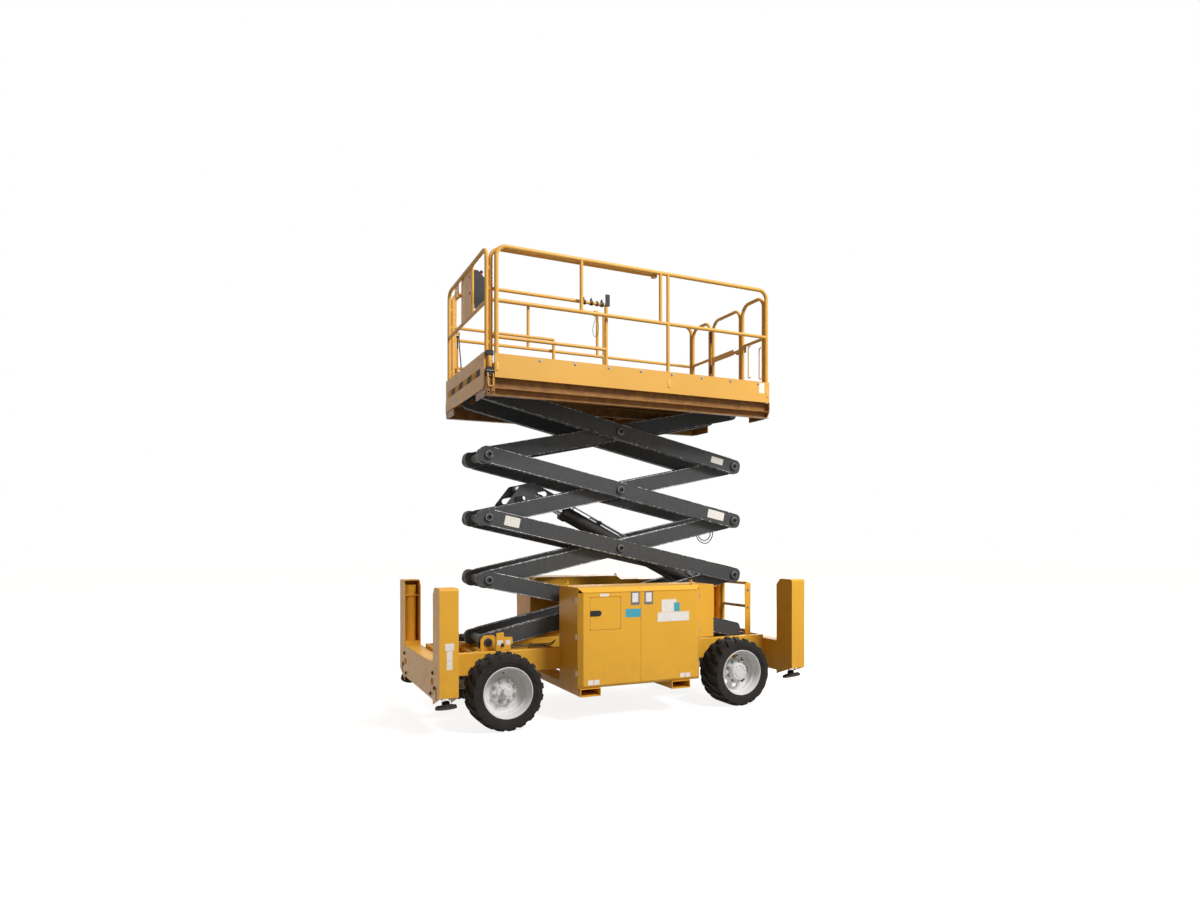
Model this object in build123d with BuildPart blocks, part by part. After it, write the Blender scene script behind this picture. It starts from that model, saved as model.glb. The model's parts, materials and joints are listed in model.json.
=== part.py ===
"""Rough-terrain scissor lift: four-stage scissor, steered wheels, cabinets, outriggers and a sliding deck.

Millimetres. +X is the driving direction, +Y the machine's left, +Z up. The origin is on the ground under the
middle of the machine. It stands with the scissor partly raised.
"""

from build123d import *
from math import asin, atan2, cos, degrees, hypot, radians, sin, tan
import os

os.makedirs("parts", exist_ok=True)

# ---- Driving dimensions ----
overall_length = 3800
overall_width = 1780

# Wheels and axles
front_axle_x = 1300
wheelbase = 2430
tyre_diameter = 673
tyre_width = 300
rim_diameter = 450
kingpin_y = 560
steering_arm = 140
steering_limit = 28

# Scissor
base_pin_x = 1310
base_pin_z = 705
pin_spacing = 2780
rest_rise = 582
stages = 4
arm_height = 150
arm_thickness = 60
arm_overhang = 85
arm_corner = 60
inner_arm_y = 225
arm_gap = 10
pin_radius = 28
bore_clearance = 0.5
cross_tube_radius = 40
pin_head_radius = 40
pin_head_thickness = 19
roller_radius = 50

# Lift cylinder: u runs along an inner arm from its front pin, v square to it, upwards
foot_from_pin = 280
cylinder_foot_v = -95
cylinder_head_u = 480
cylinder_head_v = 195
barrel_radius = 75
barrel_bore = 60
barrel_to_head = 479
rod_radius = 50
foot_to_piston = 594
cylinder_eye_width = 100

# Chassis
frame_beam_y = 380
frame_beam_width = 60
frame_z = (430, 635)
cross_member_z = (475, 595)
fork_pocket_inside = (188, 60)
fork_pocket_wall = 8
fork_pocket_top = 318
fork_pocket_x = (528, -419)
track_x = (-1590, -230)

# Outriggers
housing_length = 162
housing_inner_y = 640
housing_z = (250, 1253)
housing_slope = 20
housing_plate = 8
housing_beam_z = (285, 600)
jack_y = 765
jack_leg_radius = 40
jack_ball_z = 288
pad_radius = 92

# Cabinets
cabinet_x = (-642, 642)
cabinet_z = (318, 1225)
cabinet_chamfer = 40
cabinet_wall = 6
door_thickness = 22
door_gap = 3
door_split_x = 18

# Platform, at its rest height
platform_x = (-1560, 1453)
platform_half_width = 750
floor_z = 3135
floor_thickness = 5
side_beam_z = (2920, 3077)
toe_board_top = 3287
mid_rail_z = 3755
top_rail_z = 4235
rear_loop_z = 4190
rail_radius = 20
rail_bend = 90
rear_bend = 110
end_corner = 95
front_post_x = 1363
full_post_x = -364
UPPER_POSTS = (552, -282)
gate_half = 285
gate_z = (3300, 4170)
GATE_HINGES = (3420, 3960)
deck_front_x = 1465
extension_length = 1210
extension_inset = 50
front_plate_z = (2985, 3304)
front_plate_corner = 45
ext_rail_z = 4225
ext_mid_z = 3868
ext_low_z = 3450
slider_x = -258
front_post_y = 226
control_plate_y = (-67, 174)
folded_plate_y = -288
bracket_y = -440
control_x = (1300, 1405)
control_y = (-15, 175)
control_z = (3890, 4195)

# ---- Places worked out from them ----
rear_axle_x = front_axle_x - wheelbase
axle_z = tyre_diameter / 2
outer_arm_y = inner_arm_y + arm_thickness + arm_gap
cylinder_foot_u = pin_spacing - foot_from_pin
wheel_outer_y = overall_width / 2
wheel_inner_y = wheel_outer_y - tyre_width
phi = degrees(asin(rest_rise / pin_spacing))
rear_pin_x = base_pin_x - pin_spacing * cos(radians(phi))
inner_face_y = inner_arm_y + arm_thickness / 2
outer_face_y = outer_arm_y + arm_thickness / 2
inner_back_y = inner_arm_y - arm_thickness / 2
end_x = overall_length / 2
cabinet_inner_y = frame_beam_y + frame_beam_width / 2
frame_end_x = end_x - housing_length


def level_z(level):
    """Height of the pins at a level of the scissor, level 0 being the chassis."""
    return base_pin_z + level * rest_rise


def on_arm(stage, u, v):
    """X and Z of a point on a stage's inner arms, u along the arm from its front pin and v square to it."""
    c, s = cos(radians(phi)), sin(radians(phi))
    return base_pin_x - u * c + v * s, level_z(stage - 1) + u * s + v * c


# ---- Shared ways of making a piece ----
def block(x, y, z, mode=Mode.ADD):
    """Box between two values on each axis."""
    with Locations(((x[0] + x[1]) / 2, (y[0] + y[1]) / 2, (z[0] + z[1]) / 2)):
        Box(abs(x[1] - x[0]), abs(y[1] - y[0]), abs(z[1] - z[0]), mode=mode)


def beam(start, end, width, height, wall=0, corner=8, mode=Mode.ADD):
    """Rectangular bar or hollow section between two points; height is vertical, or along X if it stands."""
    axis = Vector(*end) - Vector(*start)
    up = Vector(0, 0, 1) if abs(axis.Z) < axis.length * 0.9 else Vector(1, 0, 0)
    with BuildSketch(Plane(origin=start, x_dir=axis.cross(up), z_dir=axis)) as section:
        RectangleRounded(width, height, corner)
        if wall:
            Rectangle(width - 2 * wall, height - 2 * wall, mode=Mode.SUBTRACT)
    extrude(section.sketch, amount=axis.length, mode=mode)


def bar(start, end, radius, bore=0, mode=Mode.ADD):
    """Round bar or tube between two points."""
    axis = Vector(*end) - Vector(*start)
    with BuildSketch(Plane(origin=start, z_dir=axis)) as section:
        Circle(radius)
        if bore:
            Circle(bore, mode=Mode.SUBTRACT)
    extrude(section.sketch, amount=axis.length, mode=mode)


def bent_tube(points, radius, bend):
    """Round tube bent round the corners of a line of points."""
    with BuildLine() as line:
        FilletPolyline(*points, radius=bend)
    with BuildSketch(Plane(origin=line.line @ 0, z_dir=line.line % 0)) as section:
        Circle(radius)
    sweep(section.sketch, path=line.line)


def hanging_cord(points, radius):
    """Tube of a cord through its chosen points, each arc as large as the two runs beside it allow."""
    corners = [Vector(*p) for p in points]
    runs = [b - a for a, b in zip(corners, corners[1:])]
    bends = [0.45 * min(a.length, b.length) / tan(radians(a.get_angle(b) / 2)) for a,
             b in zip(runs, runs[1:])]
    print("bend radii", [round(bend) for bend in bends])
    with BuildLine() as line:
        FilletPolyline(*points, radius=bends)
    with BuildSketch(Plane(origin=points[0], z_dir=runs[0])) as section:
        Circle(radius)
    path = line.wire()
    tube = sweep(section.sketch, path=path)
    whole = section.sketch.area * path.length
    print("length", round(path.length), "volume", round(tube.volume), "of", round(whole))


def plate(points, y, holes=(), rounded=0, mode=Mode.ADD):
    """Plate cut from an outline in X and Z, between two values of y, with round holes (x, z, radius)."""
    low, high = min(y), max(y)
    with BuildSketch(Plane(origin=(0, low, 0), x_dir=(1, 0, 0), z_dir=(0, -1, 0))) as outline:
        with BuildLine():
            Polyline(*points, close=True)
        make_face()
        if rounded:
            fillet(outline.vertices().group_by(Axis.Y)[-1], rounded)
        for x, z, r in holes:
            with Locations((x, z)):
                Circle(r, mode=Mode.SUBTRACT)
    extrude(outline.sketch, amount=-(high - low), mode=mode)


def save(piece, name):
    """Labels a piece and writes it as its own node."""
    piece.part.label = name
    export_step(piece.part, f"parts/{name}.step")


SIDES = (("left", 1), ("right", -1))
ENDS = (("front", 1), ("rear", -1))


# ---- Scissor arms ----
def arm_outline(plane, bores):
    """Profile of one arm from its low pin at the plane's origin, along the plane's x, with its bores cut."""
    with BuildSketch(plane) as outline:
        with Locations((pin_spacing / 2, 0)):
            RectangleRounded(pin_spacing + 2 * arm_overhang, arm_height, arm_corner)
        for distance in bores:
            with Locations((distance, 0)):
                Circle(pin_radius + bore_clearance, mode=Mode.SUBTRACT)
    return outline.sketch


def inner_plane(stage, y):
    """Plane of an inner arm, from its front low pin towards its rear high pin."""
    origin = (base_pin_x, y, level_z(stage - 1))
    return Plane(origin=origin, x_dir=(-cos(radians(phi)), 0, sin(radians(phi))), z_dir=(0, 1, 0))


def outer_plane(stage, y):
    """Plane of an outer arm, from its rear low pin towards its front high pin."""
    origin = (rear_pin_x, y, level_z(stage - 1))
    return Plane(origin=origin, x_dir=(cos(radians(phi)), 0, sin(radians(phi))), z_dir=(0, 1, 0))


head_y = outer_face_y + bore_clearance
lug_y = (inner_face_y + 7, inner_face_y + 32)
foot_x, foot_z = on_arm(1, cylinder_foot_u, cylinder_foot_v)
rod_pin_x, rod_pin_z = on_arm(3, cylinder_head_u, cylinder_head_v)
half_eye = cylinder_eye_width / 2


def stub(x, z, side, reach, head):
    """Pin from an inner arm outwards to a reach, with a round head beyond it."""
    bar((x, side * inner_arm_y, z), (x, side * reach, z), pin_radius)
    if head:
        bar((x, side * reach, z), (x, side * (reach + pin_head_thickness), z), pin_head_radius)


# Two hoses hang in a loop inside the left arm of the second stage: name, y and points (u, v) on the arm
HOSES = (("long_hose", inner_back_y - 25, ((2385, -50), (2385, -92), (2400, -134), (2431, -168), (2478, -190),
                                           (2525, -184), (2563, -155), (2590, -118), (2598, -76),
                                           (2598, -40))),
         ("short_hose", inner_back_y - 37, ((2415, -50), (2415, -88), (2428, -122), (2456, -148),
                                            (2492, -160),
                                            (2527, -152), (2555, -130), (2571, -98), (2576, -68),
                                            (2576, -40))))
hose_radius = 5
# u and v of the lower face's middle of each clip that holds them, and its length
HOSE_CLIPS = ((2400, -50, 60), (2587, -40, 54))

for stage in range(1, stages + 1):
    low, high = level_z(stage - 1), level_z(stage)
    middle_x, middle_z = (base_pin_x + rear_pin_x) / 2, (low + high) / 2
    with BuildPart() as inner_arms:
        for name, side in SIDES:
            plane = inner_plane(stage, side * inner_arm_y)
            extrude(arm_outline(plane, ()), amount=arm_thickness / 2, both=True)
            front_reach = lug_y[1] + bore_clearance if stage == 1 else head_y
            stub(base_pin_x, low, side, front_reach, True)
            stub(middle_x, middle_z, side, head_y, True)
            stub(rear_pin_x, high, side, head_y, stage < stages)
            if stage == stages:
                bar((rear_pin_x, side * (inner_face_y + 12), high), (rear_pin_x, side * outer_face_y, high),
                    roller_radius)
        for x, z in ((base_pin_x, low), (rear_pin_x, high)):
            bar((x, -inner_back_y - 5, z), (x, inner_back_y + 5, z), cross_tube_radius)
        if stage == 1:
            # Gussets under the arms carry the cylinder's foot pin between two bosses.
            for name, side in SIDES:
                with BuildSketch(inner_plane(1, side * (inner_back_y - 6))) as gusset:
                    with BuildLine():
                        u = cylinder_foot_u
                        Polyline((u - 120, 40), (u - 120, -60), (u - 45, cylinder_foot_v - 55),
                                 (u + 45, cylinder_foot_v - 55), (u + 120, -60), (u + 120, 40), close=True)
                    make_face()
                    fillet(gusset.vertices(), 18)
                extrude(gusset.sketch, amount=6, both=True)
                bar((foot_x, side * (half_eye + 2), foot_z), (foot_x, side * inner_back_y, foot_z), 45)
            bar((foot_x, -half_eye - 3, foot_z), (foot_x, half_eye + 3, foot_z), pin_radius)
        if stage == 2:
            with BuildSketch(inner_plane(2, inner_back_y + 2)) as clips:
                for u, v, length in HOSE_CLIPS:
                    with Locations((u, v)):
                        Rectangle(length, 34, align=(Align.CENTER, Align.MIN))
            extrude(clips.sketch, amount=-52)
        if stage == 3:
            # Fan brackets on the arms carry the rod's pin; each has two arched windows.
            for name, side in SIDES:
                with BuildSketch(inner_plane(3, side * (inner_back_y - 6))) as fan:
                    with BuildLine():
                        Polyline((240, 30), (240, 90), (420, 240), (540, 240), (730, 90), (730, 30),
                                 close=True)
                    make_face()
                    fillet(fan.vertices().group_by(Axis.Y)[-1], 40)
                    with Locations((375, 105), (600, 105)):
                        SlotOverall(120, 56, mode=Mode.SUBTRACT)
                extrude(fan.sketch, amount=6, both=True)
                bar((rod_pin_x, side * (half_eye + 2), rod_pin_z), (rod_pin_x, side * inner_back_y,
                                                                    rod_pin_z), 45)
    save(inner_arms, f"inner_arms_{stage}")

    with BuildPart() as outer_arms:
        for name, side in SIDES:
            plane = outer_plane(stage, side * outer_arm_y)
            bores = (0, pin_spacing / 2, pin_spacing) if stage > 1 else (pin_spacing / 2, pin_spacing)
            extrude(arm_outline(plane, bores), amount=arm_thickness / 2, both=True)
            if stage == 1:
                bar((rear_pin_x, side * outer_arm_y, low), (rear_pin_x, side * (inner_back_y + 3), low),
                    pin_radius)
                bar((rear_pin_x, side * (inner_face_y - 2), low), (rear_pin_x, side * (inner_back_y + 3),
                                                                   low),
                    roller_radius)
    save(outer_arms, f"outer_arms_{stage}")

for name, y, route in HOSES:
    with BuildPart() as hose:
        places = [on_arm(2, u, v) for u, v in route]
        hanging_cord([(x, y, z) for x, z in places], hose_radius)
    save(hose, name)

# ---- Lift cylinder ----
cylinder_angle = degrees(atan2(rod_pin_z - foot_z, rod_pin_x - foot_x))
rest_cylinder = hypot(rod_pin_x - foot_x, rod_pin_z - foot_z)
along = Plane(origin=(foot_x, 0, foot_z), x_dir=(cos(radians(cylinder_angle)), 0,
                                                 sin(radians(cylinder_angle))),
              z_dir=(0, -1, 0))
barrel_length = rest_cylinder - barrel_to_head
rod_length = rest_cylinder - foot_to_piston
gland_length = 60
eye_radius = 52

with BuildPart() as lift_cylinder:
    with BuildSketch(along) as half:
        with Locations((110, 0)):
            Rectangle(barrel_length - 110, barrel_radius, align=(Align.MIN, Align.MIN))
        with Locations((barrel_length - gland_length, barrel_radius - 1)):
            Rectangle(gland_length, 10, align=(Align.MIN, Align.MIN))
        with Locations((130, 0)):
            Rectangle(barrel_length - 130 - gland_length, barrel_bore, align=(Align.MIN, Align.MIN),
                      mode=Mode.SUBTRACT)
        with Locations((130, 0)):
            Rectangle(barrel_length - 130, rod_radius + bore_clearance, align=(Align.MIN, Align.MIN),
                      mode=Mode.SUBTRACT)
    revolve(axis=Axis(along.origin, along.x_dir))
    with BuildSketch(along) as eye:
        Circle(eye_radius)
        with Locations((60, 0)):
            Rectangle(120, 2 * eye_radius)
    extrude(amount=half_eye, both=True)
    bar((foot_x, -half_eye - 1, foot_z), (foot_x, half_eye + 1, foot_z), pin_radius + bore_clearance,
        mode=Mode.SUBTRACT)
save(lift_cylinder, "lift_cylinder")

with BuildPart() as lift_rod:
    with BuildSketch(along) as half:
        with Locations((rest_cylinder - rod_length, 0)):
            Rectangle(rod_length - 20, rod_radius, align=(Align.MIN, Align.MIN))
            Rectangle(50, barrel_bore - bore_clearance, align=(Align.MIN, Align.MIN))
    revolve(axis=Axis(along.origin, along.x_dir))
    bar((rod_pin_x, -half_eye - 1.5, rod_pin_z), (rod_pin_x, half_eye + 1.5, rod_pin_z), 45)
save(lift_rod, "lift_rod")

# ---- Wheels ----
tyre_radius = tyre_diameter / 2
rim_radius = rim_diameter / 2
seat_radius = rim_radius - 15
wheel_bore = 30
disc_y = wheel_outer_y - 85
# name, axle x, side
WHEELS = [(f"{end}_{name}_wheel", x, side)
          for end, x in (("front", front_axle_x), ("rear", rear_axle_x)) for name, side in SIDES]

for wheel, x, side in WHEELS:
    section = Plane(origin=(x, 0, axle_z), x_dir=(1, 0, 0), z_dir=(0, 0, 1))
    spin = Axis((x, 0, axle_z), (0, 1, 0))

    def ring(points):
        """Half section of the wheel from points (radius, distance from the machine's middle)."""
        with BuildSketch(section) as half:
            with BuildLine():
                Polyline(*[(r, side * y) for r, y in points], close=True)
            make_face()
        return half.sketch

    with BuildPart() as tyre:
        low, high = wheel_inner_y, wheel_outer_y
        revolve(ring(((seat_radius + 0.3, low + 30), (rim_radius + 25, low + 6), (rim_radius + 70, low),
                      (tyre_radius - 12, low + 14), (tyre_radius, low + 40), (tyre_radius, high - 40),
                      (tyre_radius - 12, high - 14), (rim_radius + 70, high), (rim_radius + 25, high - 6),
                      (seat_radius + 0.3, high - 30))), axis=spin)
    save(tyre, f"{wheel}_tyre")

    with BuildPart() as rim:
        low, high = wheel_inner_y + 12, wheel_outer_y - 12
        # Well with a flange at each edge, then the dished disc and its hub
        revolve(ring(((seat_radius - 8, low), (rim_radius, low), (rim_radius, low + 8),
                      (seat_radius, low + 16),
                      (seat_radius, high - 16), (rim_radius, high - 8), (rim_radius, high),
                      (seat_radius - 8, high))), axis=spin)
        revolve(ring(((0, disc_y - 16), (110, disc_y - 16), (150, disc_y + 6), (seat_radius - 4, disc_y + 6),
                      (seat_radius - 4, disc_y + 18), (140, disc_y + 18), (112, disc_y + 2), (80, disc_y + 2),
                      (74, disc_y + 48), (58, disc_y + 60), (0, disc_y + 60))), axis=spin)
        revolve(ring(((0, disc_y - 50), (62, disc_y - 50), (62, disc_y - 10), (0, disc_y - 10))), axis=spin)
        bar((x, side * (disc_y - 51), axle_z), (x, side * (disc_y + 30), axle_z), wheel_bore + bore_clearance,
            mode=Mode.SUBTRACT)
        if x == rear_axle_x:
            with BuildSketch(Plane(origin=(x, side * (disc_y - 20), axle_z), z_dir=(0, side, 0))) as windows:
                with PolarLocations(158, 8):
                    SlotOverall(38, 22, rotation=90)
            extrude(windows.sketch, amount=44, mode=Mode.SUBTRACT)
        nut_circle = Plane(origin=(x, side * (disc_y + 1), axle_z), z_dir=(0, side, 0))
        with BuildSketch(nut_circle) as nuts:
            with PolarLocations(96, 8):
                RegularPolygon(12, 6)
        extrude(nuts.sketch, amount=16)
    save(rim, f"{wheel}_rim")

# ---- Axles and steering ----
axle_beam_z = (axle_z - 46.5, axle_z + 53.5)
yoke_z = (axle_z - 106.5, axle_z + 105.5)
yoke_plate = 25
kingpin_radius = 22
steer_z = axle_z + 58.5
steer_x = front_axle_x + steering_arm
arm_z = (axle_z + 19.5, axle_z + 31.5)
hub_gap = 1

with BuildPart() as front_axle:
    beam((front_axle_x, -480, sum(axle_beam_z) / 2), (front_axle_x, 480, sum(axle_beam_z) / 2), 120, 100,
         wall=10)
    block((front_axle_x - 70, front_axle_x + 70), (-60, 60), (axle_beam_z[1], cross_member_z[0]))
    for name, side in SIDES:
        # A yoke at each end holds the kingpin between two plates.
        block((front_axle_x - 55, front_axle_x + 55), (side * 466, side * 490), yoke_z)
        for low in (yoke_z[0], yoke_z[1] - yoke_plate):
            block((front_axle_x - 55, front_axle_x + 55), (side * 485, side * kingpin_y),
                  (low, low + yoke_plate))
            bar((front_axle_x, side * kingpin_y, low), (front_axle_x, side * kingpin_y, low + yoke_plate), 45)
        bar((front_axle_x, side * kingpin_y, yoke_z[0] - 1), (front_axle_x, side * kingpin_y, yoke_z[1] + 1),
            kingpin_radius + bore_clearance, mode=Mode.SUBTRACT)
        block((front_axle_x + 50, steer_x + 10), (side * 150, side * 170), (axle_z, steer_z - 30))
save(front_axle, "front_axle")

with BuildPart() as steering_cylinder:
    bar((steer_x, -230, steer_z), (steer_x, 230, steer_z), 30, bore=16 + bore_clearance)
    for name, side in SIDES:
        bar((steer_x, side * 205, steer_z), (steer_x, side * 235, steer_z), 34, bore=16 + bore_clearance)
save(steering_cylinder, "steering_cylinder")

with BuildPart() as steering_rod:
    bar((steer_x, -kingpin_y, steer_z), (steer_x, kingpin_y, steer_z), 16)
    for name, side in SIDES:
        bar((steer_x, side * kingpin_y, arm_z[0] - 6), (steer_x, side * kingpin_y, steer_z + 18), 10)
        bar((steer_x, side * kingpin_y, steer_z - 17), (steer_x, side * kingpin_y, steer_z + 17), 19)
save(steering_rod, "steering_rod")

for name, side in SIDES:
    with BuildPart() as knuckle:
        x, y = front_axle_x, side * kingpin_y
        inner = (yoke_z[0] + yoke_plate + hub_gap, yoke_z[1] - yoke_plate - hub_gap)
        bar((x, y, inner[0]), (x, y, inner[1]), 45)
        bar((x, y, yoke_z[0] - 6), (x, y, yoke_z[1] + 6), kingpin_radius)
        for low in (yoke_z[0] - 12, yoke_z[1] + hub_gap):
            bar((x, y, low), (x, y, low + 11), 34)
        # Wheel motor, its flange and the spindle that carries the wheel
        bar((x, y, axle_z), (x, side * 690, axle_z), 78)
        bar((x, side * 690, axle_z), (x, side * (disc_y - 52), axle_z), 100)
        bar((x, side * 690, axle_z), (x, side * (disc_y + 28), axle_z), wheel_bore)
        # Steering arm with a slot for the rod's pin
        with BuildSketch(Plane.XY.offset(arm_z[0])) as arm:
            with Locations((x + steering_arm / 2, y)):
                Rectangle(steering_arm, 46)
            with Locations((steer_x + 10, y)):
                Circle(36)
            with Locations((steer_x + 8, y)):
                SlotOverall(50, 29, mode=Mode.SUBTRACT)
        extrude(arm.sketch, amount=arm_z[1] - arm_z[0])
    save(knuckle, f"{name}_knuckle")

with BuildPart() as rear_axle:
    beam((rear_axle_x, -560, sum(axle_beam_z) / 2), (rear_axle_x, 560, sum(axle_beam_z) / 2), 120, 100,
         wall=10)
    for name, side in SIDES:
        block((rear_axle_x - 80, rear_axle_x + 80), (side * 340, side * 420), (axle_beam_z[1], frame_z[0]))
        bar((rear_axle_x, side * 540, axle_z), (rear_axle_x, side * 690, axle_z), 78)
        bar((rear_axle_x, side * 690, axle_z), (rear_axle_x, side * (disc_y - 52), axle_z), 100)
        bar((rear_axle_x, side * 690, axle_z), (rear_axle_x, side * (disc_y + 28), axle_z), wheel_bore)
save(rear_axle, "rear_axle")

# ---- Chassis frame ----
# x of each cross member between the two long beams
CROSS_MEMBERS = (1310, 620, -420, -1000, -1560)
frame_middle_z = sum(frame_z) / 2
cross_middle_z = sum(cross_member_z) / 2
cross_height = cross_member_z[1] - cross_member_z[0]
beam_in_y = frame_beam_y - frame_beam_width / 2

with BuildPart() as chassis_frame:
    for name, side in SIDES:
        beam((-frame_end_x + 12, side * frame_beam_y, frame_middle_z), (frame_end_x - 12, side * frame_beam_y,
             frame_middle_z), frame_beam_width, frame_z[1] - frame_z[0], wall=8)
        # Lugs for the feet of the first inner arms
        foot, step, crown = cross_member_z[1] - 2, cross_member_z[1] + 42, base_pin_z + 62
        plate(((base_pin_x - 120, foot), (base_pin_x + 130, foot), (base_pin_x + 130, step - 14),
               (base_pin_x + 62, step), (base_pin_x + 62, crown), (base_pin_x - 62, crown),
               (base_pin_x - 62, step),
               (base_pin_x - 120, step - 14)), (side * lug_y[0], side * lug_y[1]),
              holes=((base_pin_x, base_pin_z, pin_radius + bore_clearance),), rounded=54)
    # Stepped bracket on the left beam
    plate(((1175, frame_z[1] - 20), (1245, frame_z[1] - 20), (1245, frame_z[1] + 30), (1222, frame_z[1] + 48),
           (1222, frame_z[1] + 85), (1175, frame_z[1] + 85)), (frame_beam_y + 18, frame_beam_y + 24),
           rounded=6)
    for x in CROSS_MEMBERS:
        beam((x, -beam_in_y - 4, cross_middle_z), (x, beam_in_y + 4, cross_middle_z), 100, cross_height,
             wall=8)
    beam((1310, -290, cross_member_z[1] - 15), (1310, 290, cross_member_z[1] - 15), 200, 30)
    for name, side in ENDS:
        block((side * (frame_end_x - 14), side * frame_end_x), (-410, 410), frame_z)
save(chassis_frame, "chassis_frame")

with BuildPart() as slide_tracks:
    track_top = base_pin_z - roller_radius - 1
    for name, side in SIDES:
        block(track_x, (side * (inner_arm_y - 32), side * (inner_arm_y + 32)), (cross_member_z[1], track_top))
        block(track_x, (side * (inner_arm_y - 40), side * (inner_arm_y - 34)),
              (cross_member_z[1], track_top + 40))
        block(track_x, (side * (inner_arm_y - 36), side * (inner_arm_y - 30)), (cross_member_z[1], track_top))
save(slide_tracks, "slide_tracks")

with BuildPart() as fork_pockets:
    width, height = (size + 2 * fork_pocket_wall for size in fork_pocket_inside)
    for x in fork_pocket_x:
        middle = fork_pocket_top - height / 2
        beam((x, -885, middle), (x, 885, middle), width, height, wall=fork_pocket_wall)
        for name, side in SIDES:
            block((x - 60, x + 60), (side * 352, side * 408), (fork_pocket_top - 2, frame_z[0]))
save(fork_pockets, "fork_pockets")

with BuildPart() as rear_ladder:
    ladder_x, post_y = -1650, 230
    for name, side in SIDES:
        bar((ladder_x, side * post_y, cross_member_z[0]), (ladder_x, side * post_y, 1200), 17)
    for z in (660, 930, 1185):
        bar((ladder_x, -post_y, z), (ladder_x, post_y, z), 16)
    beam((ladder_x, -beam_in_y, cross_member_z[0] + 40), (ladder_x, beam_in_y, cross_member_z[0] + 40), 70,
         80)
save(rear_ladder, "rear_ladder")

# ---- Outriggers ----
pad_hub = 34
leg_bore = jack_leg_radius + bore_clearance
barrel_z = (430, 1200)
slot_z = 362

for end, way in ENDS:
    near_x, far_x = way * frame_end_x, way * end_x
    middle_x = (near_x + far_x) / 2
    with BuildPart() as housings:
        beam_middle_z = sum(housing_beam_z) / 2
        beam((middle_x, -housing_inner_y - 1, beam_middle_z), (middle_x, housing_inner_y + 1, beam_middle_z),
             housing_length, housing_beam_z[1] - housing_beam_z[0], wall=10)
        for name, side in SIDES:
            # Channel open towards the machine, its foot cut on a slope that rises outwards
            rise = (wheel_outer_y - housing_inner_y) * tan(radians(housing_slope))
            with BuildSketch(Plane(origin=(min(near_x, far_x), 0, 0), x_dir=(0, 1, 0),
                                   z_dir=(1, 0, 0))) as flange:
                with BuildLine():
                    Polyline((side * housing_inner_y, housing_z[0]),
                             (side * wheel_outer_y, housing_z[0] + rise),
                             (side * wheel_outer_y, housing_z[1]), (side * (housing_inner_y + 60),
                                                                    housing_z[1]),
                             (side * housing_inner_y, housing_z[1] - 60), close=True)
                make_face()
                fillet(flange.vertices().group_by(Axis.Y)[-1], 26)
            extrude(flange.sketch, amount=housing_length)
            block((near_x + way * housing_plate, far_x - way * housing_plate),
                  (side * (housing_inner_y - 1), side * (wheel_outer_y - housing_plate)),
                  (housing_z[0] - 1, barrel_z[0]), mode=Mode.SUBTRACT)
            block((near_x + way * housing_plate, far_x - way * housing_plate),
                  (side * (housing_inner_y - 1), side * (wheel_outer_y - housing_plate)),
                  (frame_z[1], housing_z[1] - housing_plate), mode=Mode.SUBTRACT)
            with BuildSketch(Plane(origin=(far_x - way * housing_plate - way, side * jack_y, slot_z),
                                   x_dir=(0, 0, 1),
                                   z_dir=(way, 0, 0))) as slot:
                SlotOverall(120, 40)
            extrude(slot.sketch, amount=housing_plate + 2, mode=Mode.SUBTRACT)
            bar((middle_x, side * jack_y, barrel_z[0]), (middle_x, side * jack_y, barrel_z[1]), 58)
            block((near_x + way * 4, far_x - way * 4), (side * (jack_y - 70), side * (wheel_outer_y - 4)),
                  (1090, 1102))
            bar((middle_x, side * jack_y, barrel_z[0] - 1), (middle_x, side * jack_y, barrel_z[1] - 20),
                leg_bore,
                mode=Mode.SUBTRACT)
    save(housings, f"{end}_outrigger_housings")

    for name, side in SIDES:
        with BuildPart() as leg:
            bar((middle_x, side * jack_y, jack_ball_z + 18), (middle_x, side * jack_y, 1120), jack_leg_radius)
            with Locations((middle_x, side * jack_y, jack_ball_z)):
                Sphere(25)
        save(leg, f"{end}_{name}_jack")

        # Pad on a ball, lying against the sloped foot when it is up
        tilt = side * housing_slope
        with BuildPart() as pad:
            up = Vector(0, -sin(radians(tilt)), cos(radians(tilt)))
            centre = Vector(middle_x, side * jack_y, jack_ball_z)
            with BuildSketch(Plane(origin=centre - up * 58, z_dir=up)) as disc:
                Circle(pad_radius)
            extrude(disc.sketch, amount=24, taper=8)
            with BuildSketch(Plane(origin=centre - up * 36, z_dir=up)) as hub:
                Circle(pad_hub)
            extrude(hub.sketch, amount=36)
            with Locations(Location(centre)):
                Sphere(25.5, mode=Mode.SUBTRACT)
        save(pad, f"{end}_{name}_pad")

# ---- Cabinets and doors ----
door_outer_y = wheel_outer_y
door_inner_y = door_outer_y - door_thickness
door_z = (cabinet_z[0] + 21 + door_gap, cabinet_z[1] - cabinet_chamfer - 5 - door_gap)
hinge_inset = 8
hinge_radius = 8
corner_bevel = 40
door_return = 14
return_y = door_outer_y - corner_bevel - door_return
hinge_y = return_y - 2
sill_bevel = 18
hood_height = 40
HINGE_Z = (450, 780, 1110)
flap_x = (226, 538)
flap_z = (840, 1140)
flap_depth = 10
flap_pin_y = door_outer_y - 6


def cabinet_profile(side, points, inset):
    """Cross-section of a cabinet in Y and Z, set in from its rear end."""
    with BuildSketch(Plane(origin=(cabinet_x[0] + inset, 0, 0), x_dir=(0, 1, 0), z_dir=(1, 0, 0))) as outline:
        with BuildLine():
            Polyline(*[(side * y, z) for y, z in points], close=True)
        make_face()
    return outline.sketch


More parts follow.
